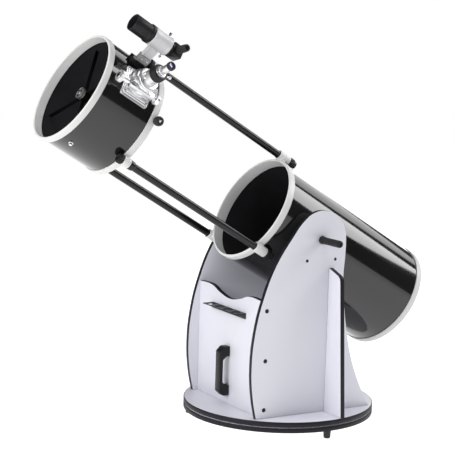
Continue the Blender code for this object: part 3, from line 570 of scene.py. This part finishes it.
def build_lock_knob(label):
    """The ribbed ring behind a lower eye, which grips the rod that runs through it."""
    node = "truss_lock_knob_" + label
    place = axis_frame("truss_lock_turn_" + label)
    low, high = local_box(node, place)
    radius = high.x
    bore = rod_radius(label, place) + ROD_ROOM
    profile = [(bore, high.z), (radius - 2.6 * MM, high.z), (radius - 0.8 * MM, high.z - 0.8 * MM),
               (radius, high.z - 2.6 * MM), (radius, low.z + 2.6 * MM),
               (radius - 0.8 * MM, low.z + 0.8 * MM), (radius - 2.6 * MM, low.z), (bore, low.z)]
    knob = lathe(node + "_shape", profile, place, [PLASTIC], 144, True,
                 ripple=(2, 5, 18, 1.4 * MM))
    settle(knob, "truss_lock_" + label, "black_plastic", node)


def build_rod_cap(label):
    """The ribbed cap on the front end of a rod, with a raised rim and a dished face."""
    node = "rod_fixing_knob_" + label
    place = axis_frame("rod_fixing_turn_" + label)
    low, high = local_box(node, place)
    radius = high.x
    bore = rod_radius(label, place) + CAP_ROOM
    top = high.z
    profile = [(0, top - 1.4 * MM), (7 * MM, top - 1.4 * MM), (8 * MM, top - 0.2 * MM),
               (radius - 3.4 * MM, top), (radius - 1 * MM, top - 1 * MM), (radius, top - 3 * MM),
               (radius, low.z + 2.2 * MM), (radius - 0.8 * MM, low.z + 0.6 * MM),
               (radius - 2.2 * MM, low.z), (bore, low.z), (bore, top - 2.6 * MM),
               (0, top - 2.6 * MM)]
    cap = lathe(node + "_shape", profile, place, [PLASTIC], 144, ripple=(4, 7, 18, 1.4 * MM))
    settle(cap, "rod_fixing_" + label, "black_plastic", node)


def build_knobs():
    for label in RODS:
        build_lock_knob(label)
        build_rod_cap(label)


def build_tension_handles():
    for label in ("right", "left"):
        node = "tension_handle_" + label
        place = axis_frame("tension_turn_" + label)
        low, high = local_box(node, place)
        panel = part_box("side_panel_" + label)
        face = abs(panel[1].x if label == "right" else panel[0].x)
        axis_start = abs(JOINTS["tension_turn_" + label]["pos_m"][0])
        collar = face - axis_start + 0.5 * MM
        grip = [(0, high.z - 2.5 * MM), (5 * MM, high.z - 2.5 * MM), (5.6 * MM, high.z - 0.6 * MM),
                (8.5 * MM, high.z), (10.8 * MM, high.z - 1.2 * MM), (11.5 * MM, high.z - 3.6 * MM)]
        top = high.z - 10 * MM
        ridges = 9
        pitch = (top - collar - 22 * MM) / ridges
        for k in range(ridges):
            z = top - k * pitch
            grip += [(11.5 * MM, z), (10.9 * MM, z - pitch * 0.12),
                     (10.9 * MM, z - pitch * 0.28), (11.5 * MM, z - pitch * 0.40)]
        grip += [(11.5 * MM, collar + 12 * MM), (12 * MM, collar + 7 * MM), (13 * MM, collar + 6 * MM),
                 (13 * MM, collar + 0.6 * MM), (12.4 * MM, collar), (5.5 * MM, collar),
                 (5.5 * MM, low.z), (0, low.z)]
        settle(lathe(node + "_shape", grip, place, [PLASTIC], 48), "tension_" + label,
               "black_plastic", node)
        disc = refined("altitude_bearing_" + label, [PLASTIC], 0)
        settle(disc, "tube", "black_plastic", "altitude_bearing_" + label)


# ---- mirror end ------------------------------------------------------------------------
def build_mirror():
    low, high = local_box("primary_mirror", TUBE)
    radius = high.x
    sag = 3.9 * MM                 # depth of the hollow
    steps = 12
    rows = [(radius * k / steps, high.z - sag * (1 - (k / steps) ** 2)) for k in range(steps)]
    profile = rows + [(radius - 1.6 * MM, high.z), (radius, high.z - 1.6 * MM), (radius, low.z),
                      (0, low.z)]
    bands = [0] * steps + [1, 1, 1]
    mirror = lathe("primary_mirror_shape", profile, TUBE, [MIRROR, GLASS_SIDE], 128, False, bands)
    settle(mirror, "primary", "mirror", "primary_mirror")
    build_centre_mark(high.z - sag)
    build_mirror_clips(low, high)
    build_mirror_cell()


def build_centre_mark(hollow):
    """The small ring stuck on the middle of the mirror, for collimation."""
    shape = bmesh.new()
    spot = hollow + 0.15 * MM
    lathe_into(shape, [(5.5 * MM, spot), (5.5 * MM, spot - 0.1 * MM), (3 * MM, spot - 0.1 * MM),
                       (3 * MM, spot)], 32, True)
    settle(to_object(shape, "mirror_centre_mark", TUBE, [PLASTIC]), "primary", "black_plastic")


def build_mirror_clips(low, high):
    radius = high.x
    shape = bmesh.new()
    for k in range(3):
        turn = Matrix.Rotation(math.radians(30 + 120 * k), 4, "Z")
        at = turn @ Matrix.Translation((radius + 3 * MM, 0, (low.z + high.z) / 2))
        block_into(shape, (4 * MM, 16 * MM, high.z - low.z + 8 * MM), at, 1 * MM)
        at = turn @ Matrix.Translation((radius - 1 * MM, 0, high.z + 2.6 * MM))
        block_into(shape, (12 * MM, 16 * MM, 3 * MM), at, 1 * MM)
    settle(to_object(shape, "mirror_clips", TUBE, [PLASTIC]), "primary", "black_plastic")


def build_mirror_cell():
    """The cell, the mirror's support and the three collimation knobs behind it."""
    settle(refined("mirror_support", [STEEL], 1 * MM), "primary", "steel", "mirror_support")
    settle(refined("mirror_cell_frame", [PLASTIC], 0.8 * MM), "tube", "black_plastic",
           "mirror_cell_frame")
    for k in (1, 2, 3):
        node = f"collimation_knob_{k}"
        place = axis_frame(f"collimation_turn_{k}")
        lo, hi = local_box(node, place)
        flip = place @ Matrix.Rotation(math.pi, 4, "X") @ Matrix.Translation((0, 0, -hi.z))
        length = hi.z - lo.z
        profile = knob_profile(length, 13 * MM, 3.8 * MM, length - 18 * MM)
        knob = lathe(node + "_shape", profile, flip, [PLASTIC], 80, ripple=(4, 7, 10, 1.6 * MM))
        settle(knob, f"collimation_{k}", "black_plastic", node)


# ---- upper cage ------------------------------------------------------------------------
def build_spider():
    low, high = local_box("spider", TUBE)
    obj = refined("spider", [VANE_BLACK], 0)
    settle(obj, "cage", "black_plastic", "spider")
    build_adjusters(high.z)
    build_vane_nuts((low.z + high.z) / 2)
    settle(refined("secondary_holder", [PLASTIC], 0.6 * MM), "secondary", "black_plastic",
           "secondary_holder")
    settle(refined("secondary_mirror", [MIRROR], 0), "secondary", "mirror", "secondary_mirror")


def build_adjusters(face):
    """The plate on the front of the hub, with its centre bolt and three screws."""
    shape = bmesh.new()
    plate = rounded([(0, face + 6 * MM), (18.5 * MM, face + 6 * MM), (18.5 * MM, face - 5 * MM),
                     (17.2 * MM, face - 5 * MM), (17.2 * MM, face + 0.4 * MM),
                     (0, face + 0.4 * MM)], 1 * MM, 2, closed=False)
    lathe_into(shape, plate, 48)
    screw_circle = 10.5 * MM
    for k in range(3):
        angle = TAU * k / 3 + 0.5
        x, y = screw_circle * math.cos(angle), screw_circle * math.sin(angle)
        screw_into(shape, 3.6 * MM, 4.5 * MM, Matrix.Translation((x, y, face + 6 * MM)), 1)
    well = rounded([(4.2 * MM, face + 7.4 * MM), (5.6 * MM, face + 7.4 * MM),
                    (5.6 * MM, face + 5.8 * MM), (4.2 * MM, face + 5.8 * MM)], 0.4 * MM, 2)
    lathe_into(shape, well, 32, True)
    screw_into(shape, 3.6 * MM, 3 * MM, Matrix.Translation((0, 0, face + 6 * MM)), 1)
    settle(to_object(shape, "spider_adjusters", TUBE, [SILVER, PLASTIC]), "cage", "silver")


def build_vane_nuts(middle):
    """A knurled nut on the outside of the cage at the end of each vane."""
    shape = bmesh.new()
    focus = TUBE.inverted().to_3x3() @ Vector(JOINTS["focus_slide"]["axis"])
    first = math.atan2(focus.y, focus.x)
    radius = local_box("upper_tube", TUBE)[1].x
    for k in range(4):
        angle = first + k * TAU / 4
        out = Vector((math.cos(angle), math.sin(angle), 0))
        at = frame_along(out * (radius - 0.5 * MM) + Vector((0, 0, middle)), out, (0, 0, 1))
        profile = rounded([(0, 8 * MM), (5 * MM, 8 * MM), (5 * MM, 2 * MM), (7.5 * MM, 2 * MM),
                           (7.5 * MM, 0), (0, 0)], 0.7 * MM, 2, closed=False)
        lathe_into(shape, profile, 48, ripple=(3, 6, 16, 0.6 * MM), at=at)
    settle(to_object(shape, "vane_nuts", TUBE, [CHROME]), "cage", "chrome")


def build_bumper():
    low, high = local_box("rest_bumper", TUBE)
    centre = (low + high) / 2
    out = Vector((centre.x, centre.y, 0)).normalized()
    place = TUBE @ frame_along(Vector((0, 0, centre.z)), out, (0, 0, 1))
    base = 181.7 * MM
    profile = [(0, base + 22 * MM), (6 * MM, base + 22.6 * MM), (10.6 * MM, base + 23.6 * MM),
               (13.2 * MM, base + 22.6 * MM), (14.6 * MM, base + 19 * MM),
               (15 * MM, base + 12 * MM), (14 * MM, base + 6 * MM), (11 * MM, base), (0, base)]
    settle(lathe("rest_bumper_shape", profile, place, [RUBBER], 64), "cage", "rubber",
           "rest_bumper")
    shape = bmesh.new()
    screw_into(shape, 4.2 * MM, 2.4 * MM, Matrix.Translation((0, 0, base + 22.2 * MM)))
    settle(to_object(shape, "rest_bumper_screw", place, [CHROME]), "cage", "chrome")


# ---- focuser ---------------------------------------------------------------------------
def saddle_into(shape, span, half, corner, inner, outer, soft=1.2 * MM, columns=40):
    """A plate bent round the cage: span across it, half its length along it, round corners."""
    low, high = span
    rows = []
    for i in range(columns + 1):
        t = (1 - math.cos(math.pi * i / columns)) / 2
        x = low + (high - low) * t
        edge = min(x - low, high - x)
        dip = max(0.0, corner - edge)
        reach = half - corner + math.sqrt(max(0.0, corner ** 2 - dip ** 2))
        inset = soft if 0 < i < columns else 0.0
        row = []
        for y, radius in ((-reach, inner), (-reach, outer - soft), (-reach + soft, outer),
                          (reach - soft, outer), (reach, outer - soft), (reach, inner)):
            level = radius if inset or radius == inner else outer - soft
            row.append(shape.verts.new((x, y, math.sqrt(level ** 2 - x ** 2))))
        rows.append(row)
    for before, after in zip(rows, rows[1:]):
        for k in range(6):
            n = (k + 1) % 6
            shape.faces.new((before[k], before[n], after[n], after[k]))
    shape.faces.new(rows[0])
    shape.faces.new(list(reversed(rows[-1])))


def build_focuser():
    low, high = local_box("focuser_base", FOCUSER)
    cage = local_box("upper_tube", TUBE)[1].x
    build_focuser_base(low, high, cage)
    build_focuser_screws(low, high, cage)
    build_drawtube()
    build_focus_knobs()
    build_eyepiece()
    clamp_screw("eyepiece_clamp_screw", "eyepiece_clamp_turn")


def build_focuser_base(low, high, cage):
    """Three curved plates, the column round the drawtube and the bridge over the knobs' shaft."""
    shape = bmesh.new()
    saddle_into(shape, (low.x, high.x), high.y, 7 * MM, cage + 0.4 * MM, cage + 5.4 * MM)
    saddle_into(shape, (low.x + 5 * MM, high.x - 5 * MM), high.y - 5 * MM, 6 * MM,
                cage + 5 * MM, cage + 9.4 * MM)
    saddle_into(shape, (low.x + 9 * MM, high.x - 8 * MM), high.y - 10 * MM, 5 * MM,
                cage + 9 * MM, cage + 12.5 * MM)
    bore = local_box("focuser_drawtube", FOCUSER)[1].x - 0.5 * MM
    steps = below(high.z, (32.5, 0), (34.4, 0.8), (35, 2.4), (35, 5), (33.6, 6.2), (33.6, 8),
                  (35.2, 9.4), (36, 15), (37.6, 19), (40, 22), (40, 24.5), (41.4, 26), (43, 30),
                  (43, 37), (41.6, 38.4))
    foot = cage + 2 * MM
    column = [(bore, high.z), *steps, (41.6 * MM, foot), (bore, foot)]
    lathe_into(shape, column, 128, True)
    shaft = FOCUSER.inverted() @ Vector(JOINTS["focus_turn"]["pos_m"])
    bridge = Matrix.Translation((shaft.x, 0, shaft.z - 3 * MM))
    block_into(shape, (19 * MM, 87 * MM, 23 * MM), bridge, 2.5 * MM)
    for sign in (-1, 1):
        cheek = Matrix.Translation((shaft.x, sign * 42.5 * MM, shaft.z)) @ TURN_TO_Y
        boss = rounded([(0, 2.6 * MM), (8.2 * MM, 2.6 * MM), (8.2 * MM, -3 * MM), (0, -3 * MM)],
                       1 * MM, 2, closed=False)
        lathe_into(shape, boss, 40, at=cheek)
    for k in range(3):
        rib = Matrix.Translation((shaft.x, (k - 1) * 24 * MM, shaft.z + 8 * MM))
        block_into(shape, (15 * MM, 13 * MM, 3.2 * MM), rib, 1 * MM)
    settle(to_object(shape, "focuser_base_shape", FOCUSER, [SILVER]), "cage", "silver",
           "focuser_base")


def build_focuser_screws(low, high, cage):
    """Four screws through the plates and three in the column's neck."""
    shape = bmesh.new()
    for sx, sy in ((-1, -1), (-1, 1), (1, -1), (1, 1)):
        x = high.x - 10.5 * MM if sx > 0 else low.x + 10.5 * MM
        y = sy * (high.y - 11 * MM)
        level = math.sqrt((cage + 9.3 * MM) ** 2 - x ** 2)
        at = frame_along((x, y, level), (x, 0, level), (0, 1, 0))
        screw_into(shape, 4.2 * MM, 2.8 * MM, at)
    neck = 33.6 * MM
    for k in range(3):
        angle = math.radians(100 + 120 * k)
        spot = (neck * math.cos(angle), neck * math.sin(angle), high.z - 3.6 * MM)
        screw_into(shape, 1.8 * MM, 2.2 * MM, frame_along(spot, (spot[0], spot[1], 0), (0, 0, 1)))
    settle(to_object(shape, "focuser_base_screws", FOCUSER, [STEEL]), "cage", "steel")


def build_drawtube():
    """The sliding tube and the ribbed black collar on its end."""
    low, high = local_box("focuser_drawtube", FOCUSER)
    radius = high.x
    top = high.z
    lip = 24 * MM
    inner = 16.2 * MM
    profile = [(inner, top - 0.4 * MM), (radius - 1.4 * MM, top - 0.4 * MM),
               (radius - 1 * MM, top - lip), (radius - 1 * MM, low.z), (radius - 3 * MM, low.z),
               (radius - 3 * MM, top - 4 * MM), (inner, top - 4 * MM)]
    settle(lathe("focuser_drawtube_shape", profile, FOCUSER, [SILVER], 96, True), "drawtube",
           "silver", "focuser_drawtube")
    collar = [(inner + 1 * MM, top), (radius - 3 * MM, top), (radius - 0.6 * MM, top - 0.6 * MM),
              (radius, top - 2.4 * MM), (radius, top - 8 * MM), (radius - 0.7 * MM, top - 8.8 * MM),
              (radius, top - 9.6 * MM), (radius, top - lip + 1.6 * MM),
              (radius - 0.6 * MM, top - lip), (radius - 1.2 * MM, top - lip),
              (radius - 1.3 * MM, top - 0.8 * MM), (inner + 1 * MM, top - 0.8 * MM)]
    settle(lathe("drawtube_collar", collar, FOCUSER, [PLASTIC], 144, True,
                 ripple=(6, 7, 36, 0.6 * MM)), "drawtube", "black_plastic")


def build_focus_knobs():
    """Both wheels and their shaft, turned in one piece."""
    place = axis_frame("focus_turn")
    low, high = local_box("focus_knobs", place)
    end = high.z
    big = high.x
    shape = bmesh.new()
    wheel = below(end, (0, 2.4), (3.4, 2.4), (4, 0), (8, 0), (8.8, 0.6), (9.4, 2.6))
    wheel += [(big - 3 * MM, end - 1.6 * MM), (big - 1 * MM, end - 2.2 * MM),
              (big, end - 3.6 * MM), (big, end - 15 * MM), (big - 1 * MM, end - 16.2 * MM),
              (big - 3 * MM, end - 17 * MM)]
    wheel += below(end, (9, 17), (9, 38), (3.2, 38))
    back = low.z
    wheel += [(3.2 * MM, back + 18.5 * MM), (6 * MM, back + 18.5 * MM), (6 * MM, back + 12.5 * MM),
              (13.6 * MM, back + 12.5 * MM), (16 * MM, back + 11 * MM), (16 * MM, back + 2.2 * MM),
              (14.4 * MM, back + 0.4 * MM), (7 * MM, back + 1 * MM), (0, back + 1 * MM)]
    lathe_into(shape, wheel, 144, ripple=(8, 9, 36, 0.8 * MM),
               bands=[1, 1, 1, 1] + [0] * (len(wheel) - 5))
    settle(to_object(shape, "focus_knobs_shape", place, [SILVER, PLASTIC], 30), "focus_shaft",
           "silver", "focus_knobs")


def clamp_screw(node, joint):
    """A small thumbscrew with a knurled head."""
    place = axis_frame(joint)
    low, high = local_box(node, place)
    head = max(high.x, high.y)
    profile = [(0, high.z), (head * 0.7, high.z), (head * 0.95, high.z - 0.6 * MM),
               (head, high.z - 1.4 * MM), (head, high.z - 7 * MM), (head * 0.9, high.z - 8 * MM),
               (head * 0.45, high.z - 8 * MM), (head * 0.45, low.z), (0, low.z)]
    settle(lathe(node + "_shape", profile, place, [CHROME], 72, ripple=(3, 4, 18, 0.5 * MM)),
           JOINTS[joint]["child"], "chrome", node)


def build_eyepiece():
    low, high = local_box("eyepiece", FOCUSER)
    seat = local_box("focuser_drawtube", FOCUSER)[1].z + 0.3 * MM
    eye_end = below(high.z, (0, 3.2), (5, 2.7), (8.6, 1.8), (9.2, 0.8), (11, 0), (12.8, 0.6),
                    (13.5, 2.4), (13.5, 11), (12.6, 12), (11.3, 12.4), (11.3, 14), (11.5, 15))
    profile = [*eye_end, (11.5 * MM, seat + 10 * MM), (11.2 * MM, seat + 9 * MM),
               (11.5 * MM, seat + 8 * MM), (11.5 * MM, seat + 3 * MM),
               (17 * MM, seat + 1.6 * MM), (17.4 * MM, seat), (15.85 * MM, seat),
               (15.85 * MM, low.z), (14 * MM, low.z), (14 * MM, low.z + 18 * MM),
               (0, low.z + 18 * MM)]
    bands = [0, 0, 1, 1, 1, 1, 1, 1, 1] + [2] * 10 + [1, 1, 1]
    obj = lathe("eyepiece_shape", profile, FOCUSER, [LENS, RUBBER, SILVER], 80, False, bands,
                (6, 7, 20, 0.7 * MM))
    settle(obj, "eyepiece_body", "black_plastic", "eyepiece")


# ---- finder ----------------------------------------------------------------------------
def build_finder():
    aim = JOINTS["finder_aim"]
    origin = Vector(aim["pos_m"])
    out_axis = Vector(aim["axis"]).cross(TUBE_Z).normalized()
    place = frame_along(origin, TUBE_Z, out_axis)
    build_finder_tube(place)
    house = build_prism_house(place)
    build_finder_eyepiece(house)
    build_bracket(place)
    settle(refined("finder_shoe", [PLASTIC], 0.8 * MM), "cage", "black_plastic", "finder_shoe")
    clamp_screw("finder_screw_1", "finder_adjuster_turn_1")
    clamp_screw("finder_screw_2", "finder_adjuster_turn_2")
    build_third_screw(place)


def build_finder_tube(place):
    """A dew shield with its lens set back, the collar behind it and the thinner tube."""
    front = local_box("finder_tube", place)[1].z
    profile = below(front, (0, 24), (10, 23.4), (18, 22), (23.6, 20), (24.6, 0), (25.6, 0),
                    (26.6, 0.8), (27, 2), (27, 27), (26.3, 27.6), (26.3, 29), (27, 29.6),
                    (27, 56), (29, 58), (30, 59.4), (30, 68.4), (29, 69.6), (21, 71.4),
                    (21, 146), (0, 146))
    bands = [2, 2, 2, 1] + [0] * 15
    tube = lathe("finder_tube_shape", profile, place, [PLASTIC, TUBE_INSIDE, LENS], 96, False,
                 bands, (14, 15, 24, 0.9 * MM))
    settle(tube, "finder", "black_plastic", "finder_tube")


def build_prism_house(place):
    """The square house that turns the view to the eyepiece. Returns its frame."""
    lens_low, lens_high = local_box("finder_eyepiece", place)
    centre = place @ ((lens_low + lens_high) / 2)
    middle = place @ Vector((0, 0, (lens_low.z + lens_high.z) / 2))
    eye_way = (centre - middle).normalized()
    house = frame_along(middle, eye_way, TUBE_Z)
    shape = bmesh.new()
    block_into(shape, (40 * MM, 40 * MM, 43 * MM), Matrix.Identity(4), 4 * MM)
    for sign in (-1, 1):
        at = Matrix.Translation((sign * 20 * MM, 0, 0)) @ Matrix.Rotation(math.pi / 2, 4, "Y")
        block_into(shape, (26 * MM, 26 * MM, 1.6 * MM), at, 0.7 * MM)
    ring = rounded([(19 * MM, 22.5 * MM), (24 * MM, 22.5 * MM), (24 * MM, 17 * MM),
                    (19 * MM, 17 * MM)], 1 * MM, 2)
    lathe_into(shape, ring, 48, True, at=TURN_TO_Y)
    settle(to_object(shape, "finder_prism_house", house, [PLASTIC]), "finder", "black_plastic")
    return house


def build_finder_eyepiece(house):
    low, high = local_box("finder_eyepiece", house)
    profile = below(high.z, (0, 3), (6.4, 2.6), (7.4, 1), (9.4, 0), (11, 1.4), (11.4, 5),
                    (12, 12), (12, 30), (11, 32)) + [(10 * MM, low.z), (0, low.z)]
    eye = lathe("finder_eyepiece_shape", profile, house, [EYE_GLASS, RUBBER], 72, False,
                [0, 1, 1, 1, 1, 1, 1, 1, 1, 1], (6, 7, 18, 0.7 * MM))
    settle(eye, "finder", "black_plastic", "finder_eyepiece")


def build_third_screw(place):
    """The sprung screw, which pushes the finder against the other two."""
    third = local_box("finder_screw_3", place)
    middle = (third[0] + third[1]) / 2
    way = Vector((middle.x, middle.y, 0)).normalized()
    reach = Vector((middle.x, middle.y, 0)).length
    head = below(9.5 * MM, (0, 0), (2.6, 0), (3.6, 0.7), (4, 1.7), (4, 5.1), (3.4, 5.9),
                 (1.8, 5.9), (1.8, 19), (0, 19))
    at = place @ frame_along(way * reach + Vector((0, 0, middle.z)), way, (0, 0, 1))
    settle(lathe("finder_screw_3_shape", head, at, [CHROME], 72, ripple=(3, 4, 18, 0.5 * MM)),
           "finder_holder", "chrome", "finder_screw_3")


def build_bracket(place):
    """The sleeve round the finder, its stalk and the dovetail foot, with flanged ends."""
    low, high = local_box("finder_bracket", place)
    middle = (low.z + high.z) / 2
    radius = high.x
    bore = 24.6 * MM
    shape = bmesh.new()
    sleeve = bent([(bore, high.z), (radius, high.z), (radius, high.z - 7 * MM),
                   (radius - 1 * MM, high.z - 8 * MM), (radius - 1 * MM, low.z + 8 * MM),
                   (radius, low.z + 7 * MM), (radius, low.z), (bore, low.z)],
                  [1 * MM, 1.2 * MM, 0.4 * MM, 0.4 * MM, 0.4 * MM, 0.4 * MM, 1.2 * MM, 1 * MM], 3)
    lathe_into(shape, sleeve, 96, True)
    foot_top = low.y + 28 * MM
    stalk_top = -bore - 0.8 * MM
    centre = middle - 2.5 * MM
    stalk = Matrix.Translation((0, (stalk_top + foot_top) / 2, centre))
    block_into(shape, (13 * MM, stalk_top - foot_top + 2 * MM, 33 * MM), stalk, 1.6 * MM)
    for sign in (-1, 1):
        web = Matrix.Translation((0, (stalk_top + foot_top) / 2, centre + sign * 15 * MM))
        block_into(shape, (16 * MM, stalk_top - foot_top + 1 * MM, 4 * MM), web, 1 * MM)
    settle(to_object(shape, "finder_bracket_shape", place, [GREY_CAST]), "finder_holder",
           "grey_bracket", "finder_bracket")
    shape = bmesh.new()
    foot = Matrix.Translation((0, (foot_top + low.y + 6.4 * MM) / 2, centre + 0.5 * MM))
    block_into(shape, (26 * MM, foot_top - low.y - 6.4 * MM, 36.6 * MM), foot, 1.4 * MM)
    rail = Matrix.Translation((0, low.y + 4 * MM, centre + 6 * MM))
    block_into(shape, (22 * MM, 7.8 * MM, 39.6 * MM), rail, 0.8 * MM)
    settle(to_object(shape, "finder_bracket_foot", place, [DARK_CAST]), "finder_holder",
           "grey_bracket")
    shape = bmesh.new()
    for sign in (-1, 1):
        spot = (13 * MM, foot_top - 10 * MM, centre + sign * 10 * MM)
        screw_into(shape, 3 * MM, 1.8 * MM, frame_along(spot, (1, 0, 0)))
    settle(to_object(shape, "finder_foot_screws", place, [CHROME]), "finder_holder", "chrome")


# ---- studio ----------------------------------------------------------------------------
def build_stage():
    mesh = bpy.data.meshes.new("studio_floor")
    shape = bmesh.new()
    bmesh.ops.create_grid(shape, x_segments=2, y_segments=2, size=14)
    shape.to_mesh(mesh)
    shape.free()
    floor = bpy.data.objects.new("studio_floor", mesh)
    floor.location = (0, 0, -0.0005)
    bpy.context.scene.collection.objects.link(floor)
    paint = surface("studio_floor_paint", (0.42, 0.42, 0.42), 0.7, spread=0.005, patch=0.6,
                    grain=50, bump=0.01)
    glow = paint.node_tree.nodes["Principled BSDF"]
    glow.inputs["Emission Color"].default_value = (1, 1, 1, 1)
    glow.inputs["Emission Strength"].default_value = 0.88
    mesh.materials.append(paint)


def area_light(name, at, target, size, power, colour=(1, 1, 1)):
    data = bpy.data.lights.new(name, "AREA")
    data.shape = "RECTANGLE"
    data.size, data.size_y = size
    data.energy = power
    data.color = colour
    light = bpy.data.objects.new(name, data)
    light.location = at
    aim = Vector(target) - Vector(at)
    light.rotation_mode = "QUATERNION"
    light.rotation_quaternion = aim.to_track_quat("-Z", "Y")
    bpy.context.scene.collection.objects.link(light)


def build_world():
    """A white backdrop for the camera, dimmer as a light and dimmer still in reflections."""
    world = bpy.data.worlds.new("studio_world")
    world.use_nodes = True
    bpy.context.scene.world = world
    tree = world.node_tree
    room = tree.nodes["Background"]
    room.inputs["Color"].default_value = (0.97, 0.97, 1.0, 1)
    room.inputs["Strength"].default_value = 0.31
    backdrop = node_at(tree, "ShaderNodeBackground", Color=(1, 1, 1, 1), Strength=1.0)
    mirrored = node_at(tree, "ShaderNodeBackground", Color=(1, 1, 1, 1), Strength=0.06)
    seen = node_at(tree, "ShaderNodeLightPath")
    inner = node_at(tree, "ShaderNodeMixShader")
    outer = node_at(tree, "ShaderNodeMixShader")
    tree.links.new(seen.outputs["Is Glossy Ray"], inner.inputs["Fac"])
    tree.links.new(room.outputs["Background"], inner.inputs[1])
    tree.links.new(mirrored.outputs["Background"], inner.inputs[2])
    tree.links.new(seen.outputs["Is Camera Ray"], outer.inputs["Fac"])
    tree.links.new(inner.outputs["Shader"], outer.inputs[1])
    tree.links.new(backdrop.outputs["Background"], outer.inputs[2])
    tree.links.new(outer.outputs["Shader"], tree.nodes["World Output"].inputs["Surface"])
    bpy.context.scene.view_settings.view_transform = "Standard"


def build_lights():
    target = (0, 0, 0.6)
    area_light("key_softbox", (0.9, -4.6, 2.6), target, (2.4, 1.8), 146)
    area_light("back_strip", (1.15, 4.05, 3.15), (0.1, 0.1, 0.75), (2.35, 2.5), 100)
    area_light("back_panel", (-1.66, 3.85, 2.85), (0.1, 0.1, 0.75), (2.6, 2.5), 30)
    area_light("back_wall", (-3.3, 3.0, 1.1), (0.1, 0.3, 0.7), (1.9, 2.1), 24)
    area_light("top_softbox", (0.5, -0.8, 4.8), target, (1.6, 2.0), 52)


CAMERA_ANGLES = (59.4425, 8.0516, 1.6919)        # yaw, pitch and roll in degrees
CAMERA_FROM_BASE = (3.9733, -2.5616, 1.2391)
FOCAL_LENGTH = 113.9                             # for the sensor width below, in mm
SENSOR_WIDTH = 36


def build_camera():
    """A three-quarter view from the front right, placed from the azimuth axis and the board."""
    yaw, pitch, roll = (math.radians(angle) for angle in CAMERA_ANGLES)
    away = Vector((math.sin(yaw) * math.cos(pitch), -math.cos(yaw) * math.cos(pitch),
                   math.sin(pitch)))
    right = (-away).cross(Vector((0, 0, 1))).normalized()
    up = right.cross(-away)
    tilted_right = right * math.cos(roll) + up * math.sin(roll)
    tilted_up = up * math.cos(roll) - right * math.sin(roll)
    data = bpy.data.cameras.new("camera")
    data.sensor_width = SENSOR_WIDTH
    data.lens = FOCAL_LENGTH
    data.clip_end = 60
    camera = bpy.data.objects.new("camera", data)
    bpy.context.scene.collection.objects.link(camera)
    board_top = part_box("rotating_board")[1].z
    x, y, z = CAMERA_FROM_BASE
    spot = Vector((x, y + JOINTS["azimuth_turn"]["pos_m"][1], z + board_top))
    camera.matrix_world = basis(spot, tilted_right, tilted_up, away)
    bpy.context.scene.camera = camera


build_camera()
build_stage()
build_world()
build_lights()
build_boards()
build_rocker()
build_tubes()
build_knobs()
build_tension_handles()
build_mirror()
build_spider()
build_bumper()
build_focuser()
build_finder()
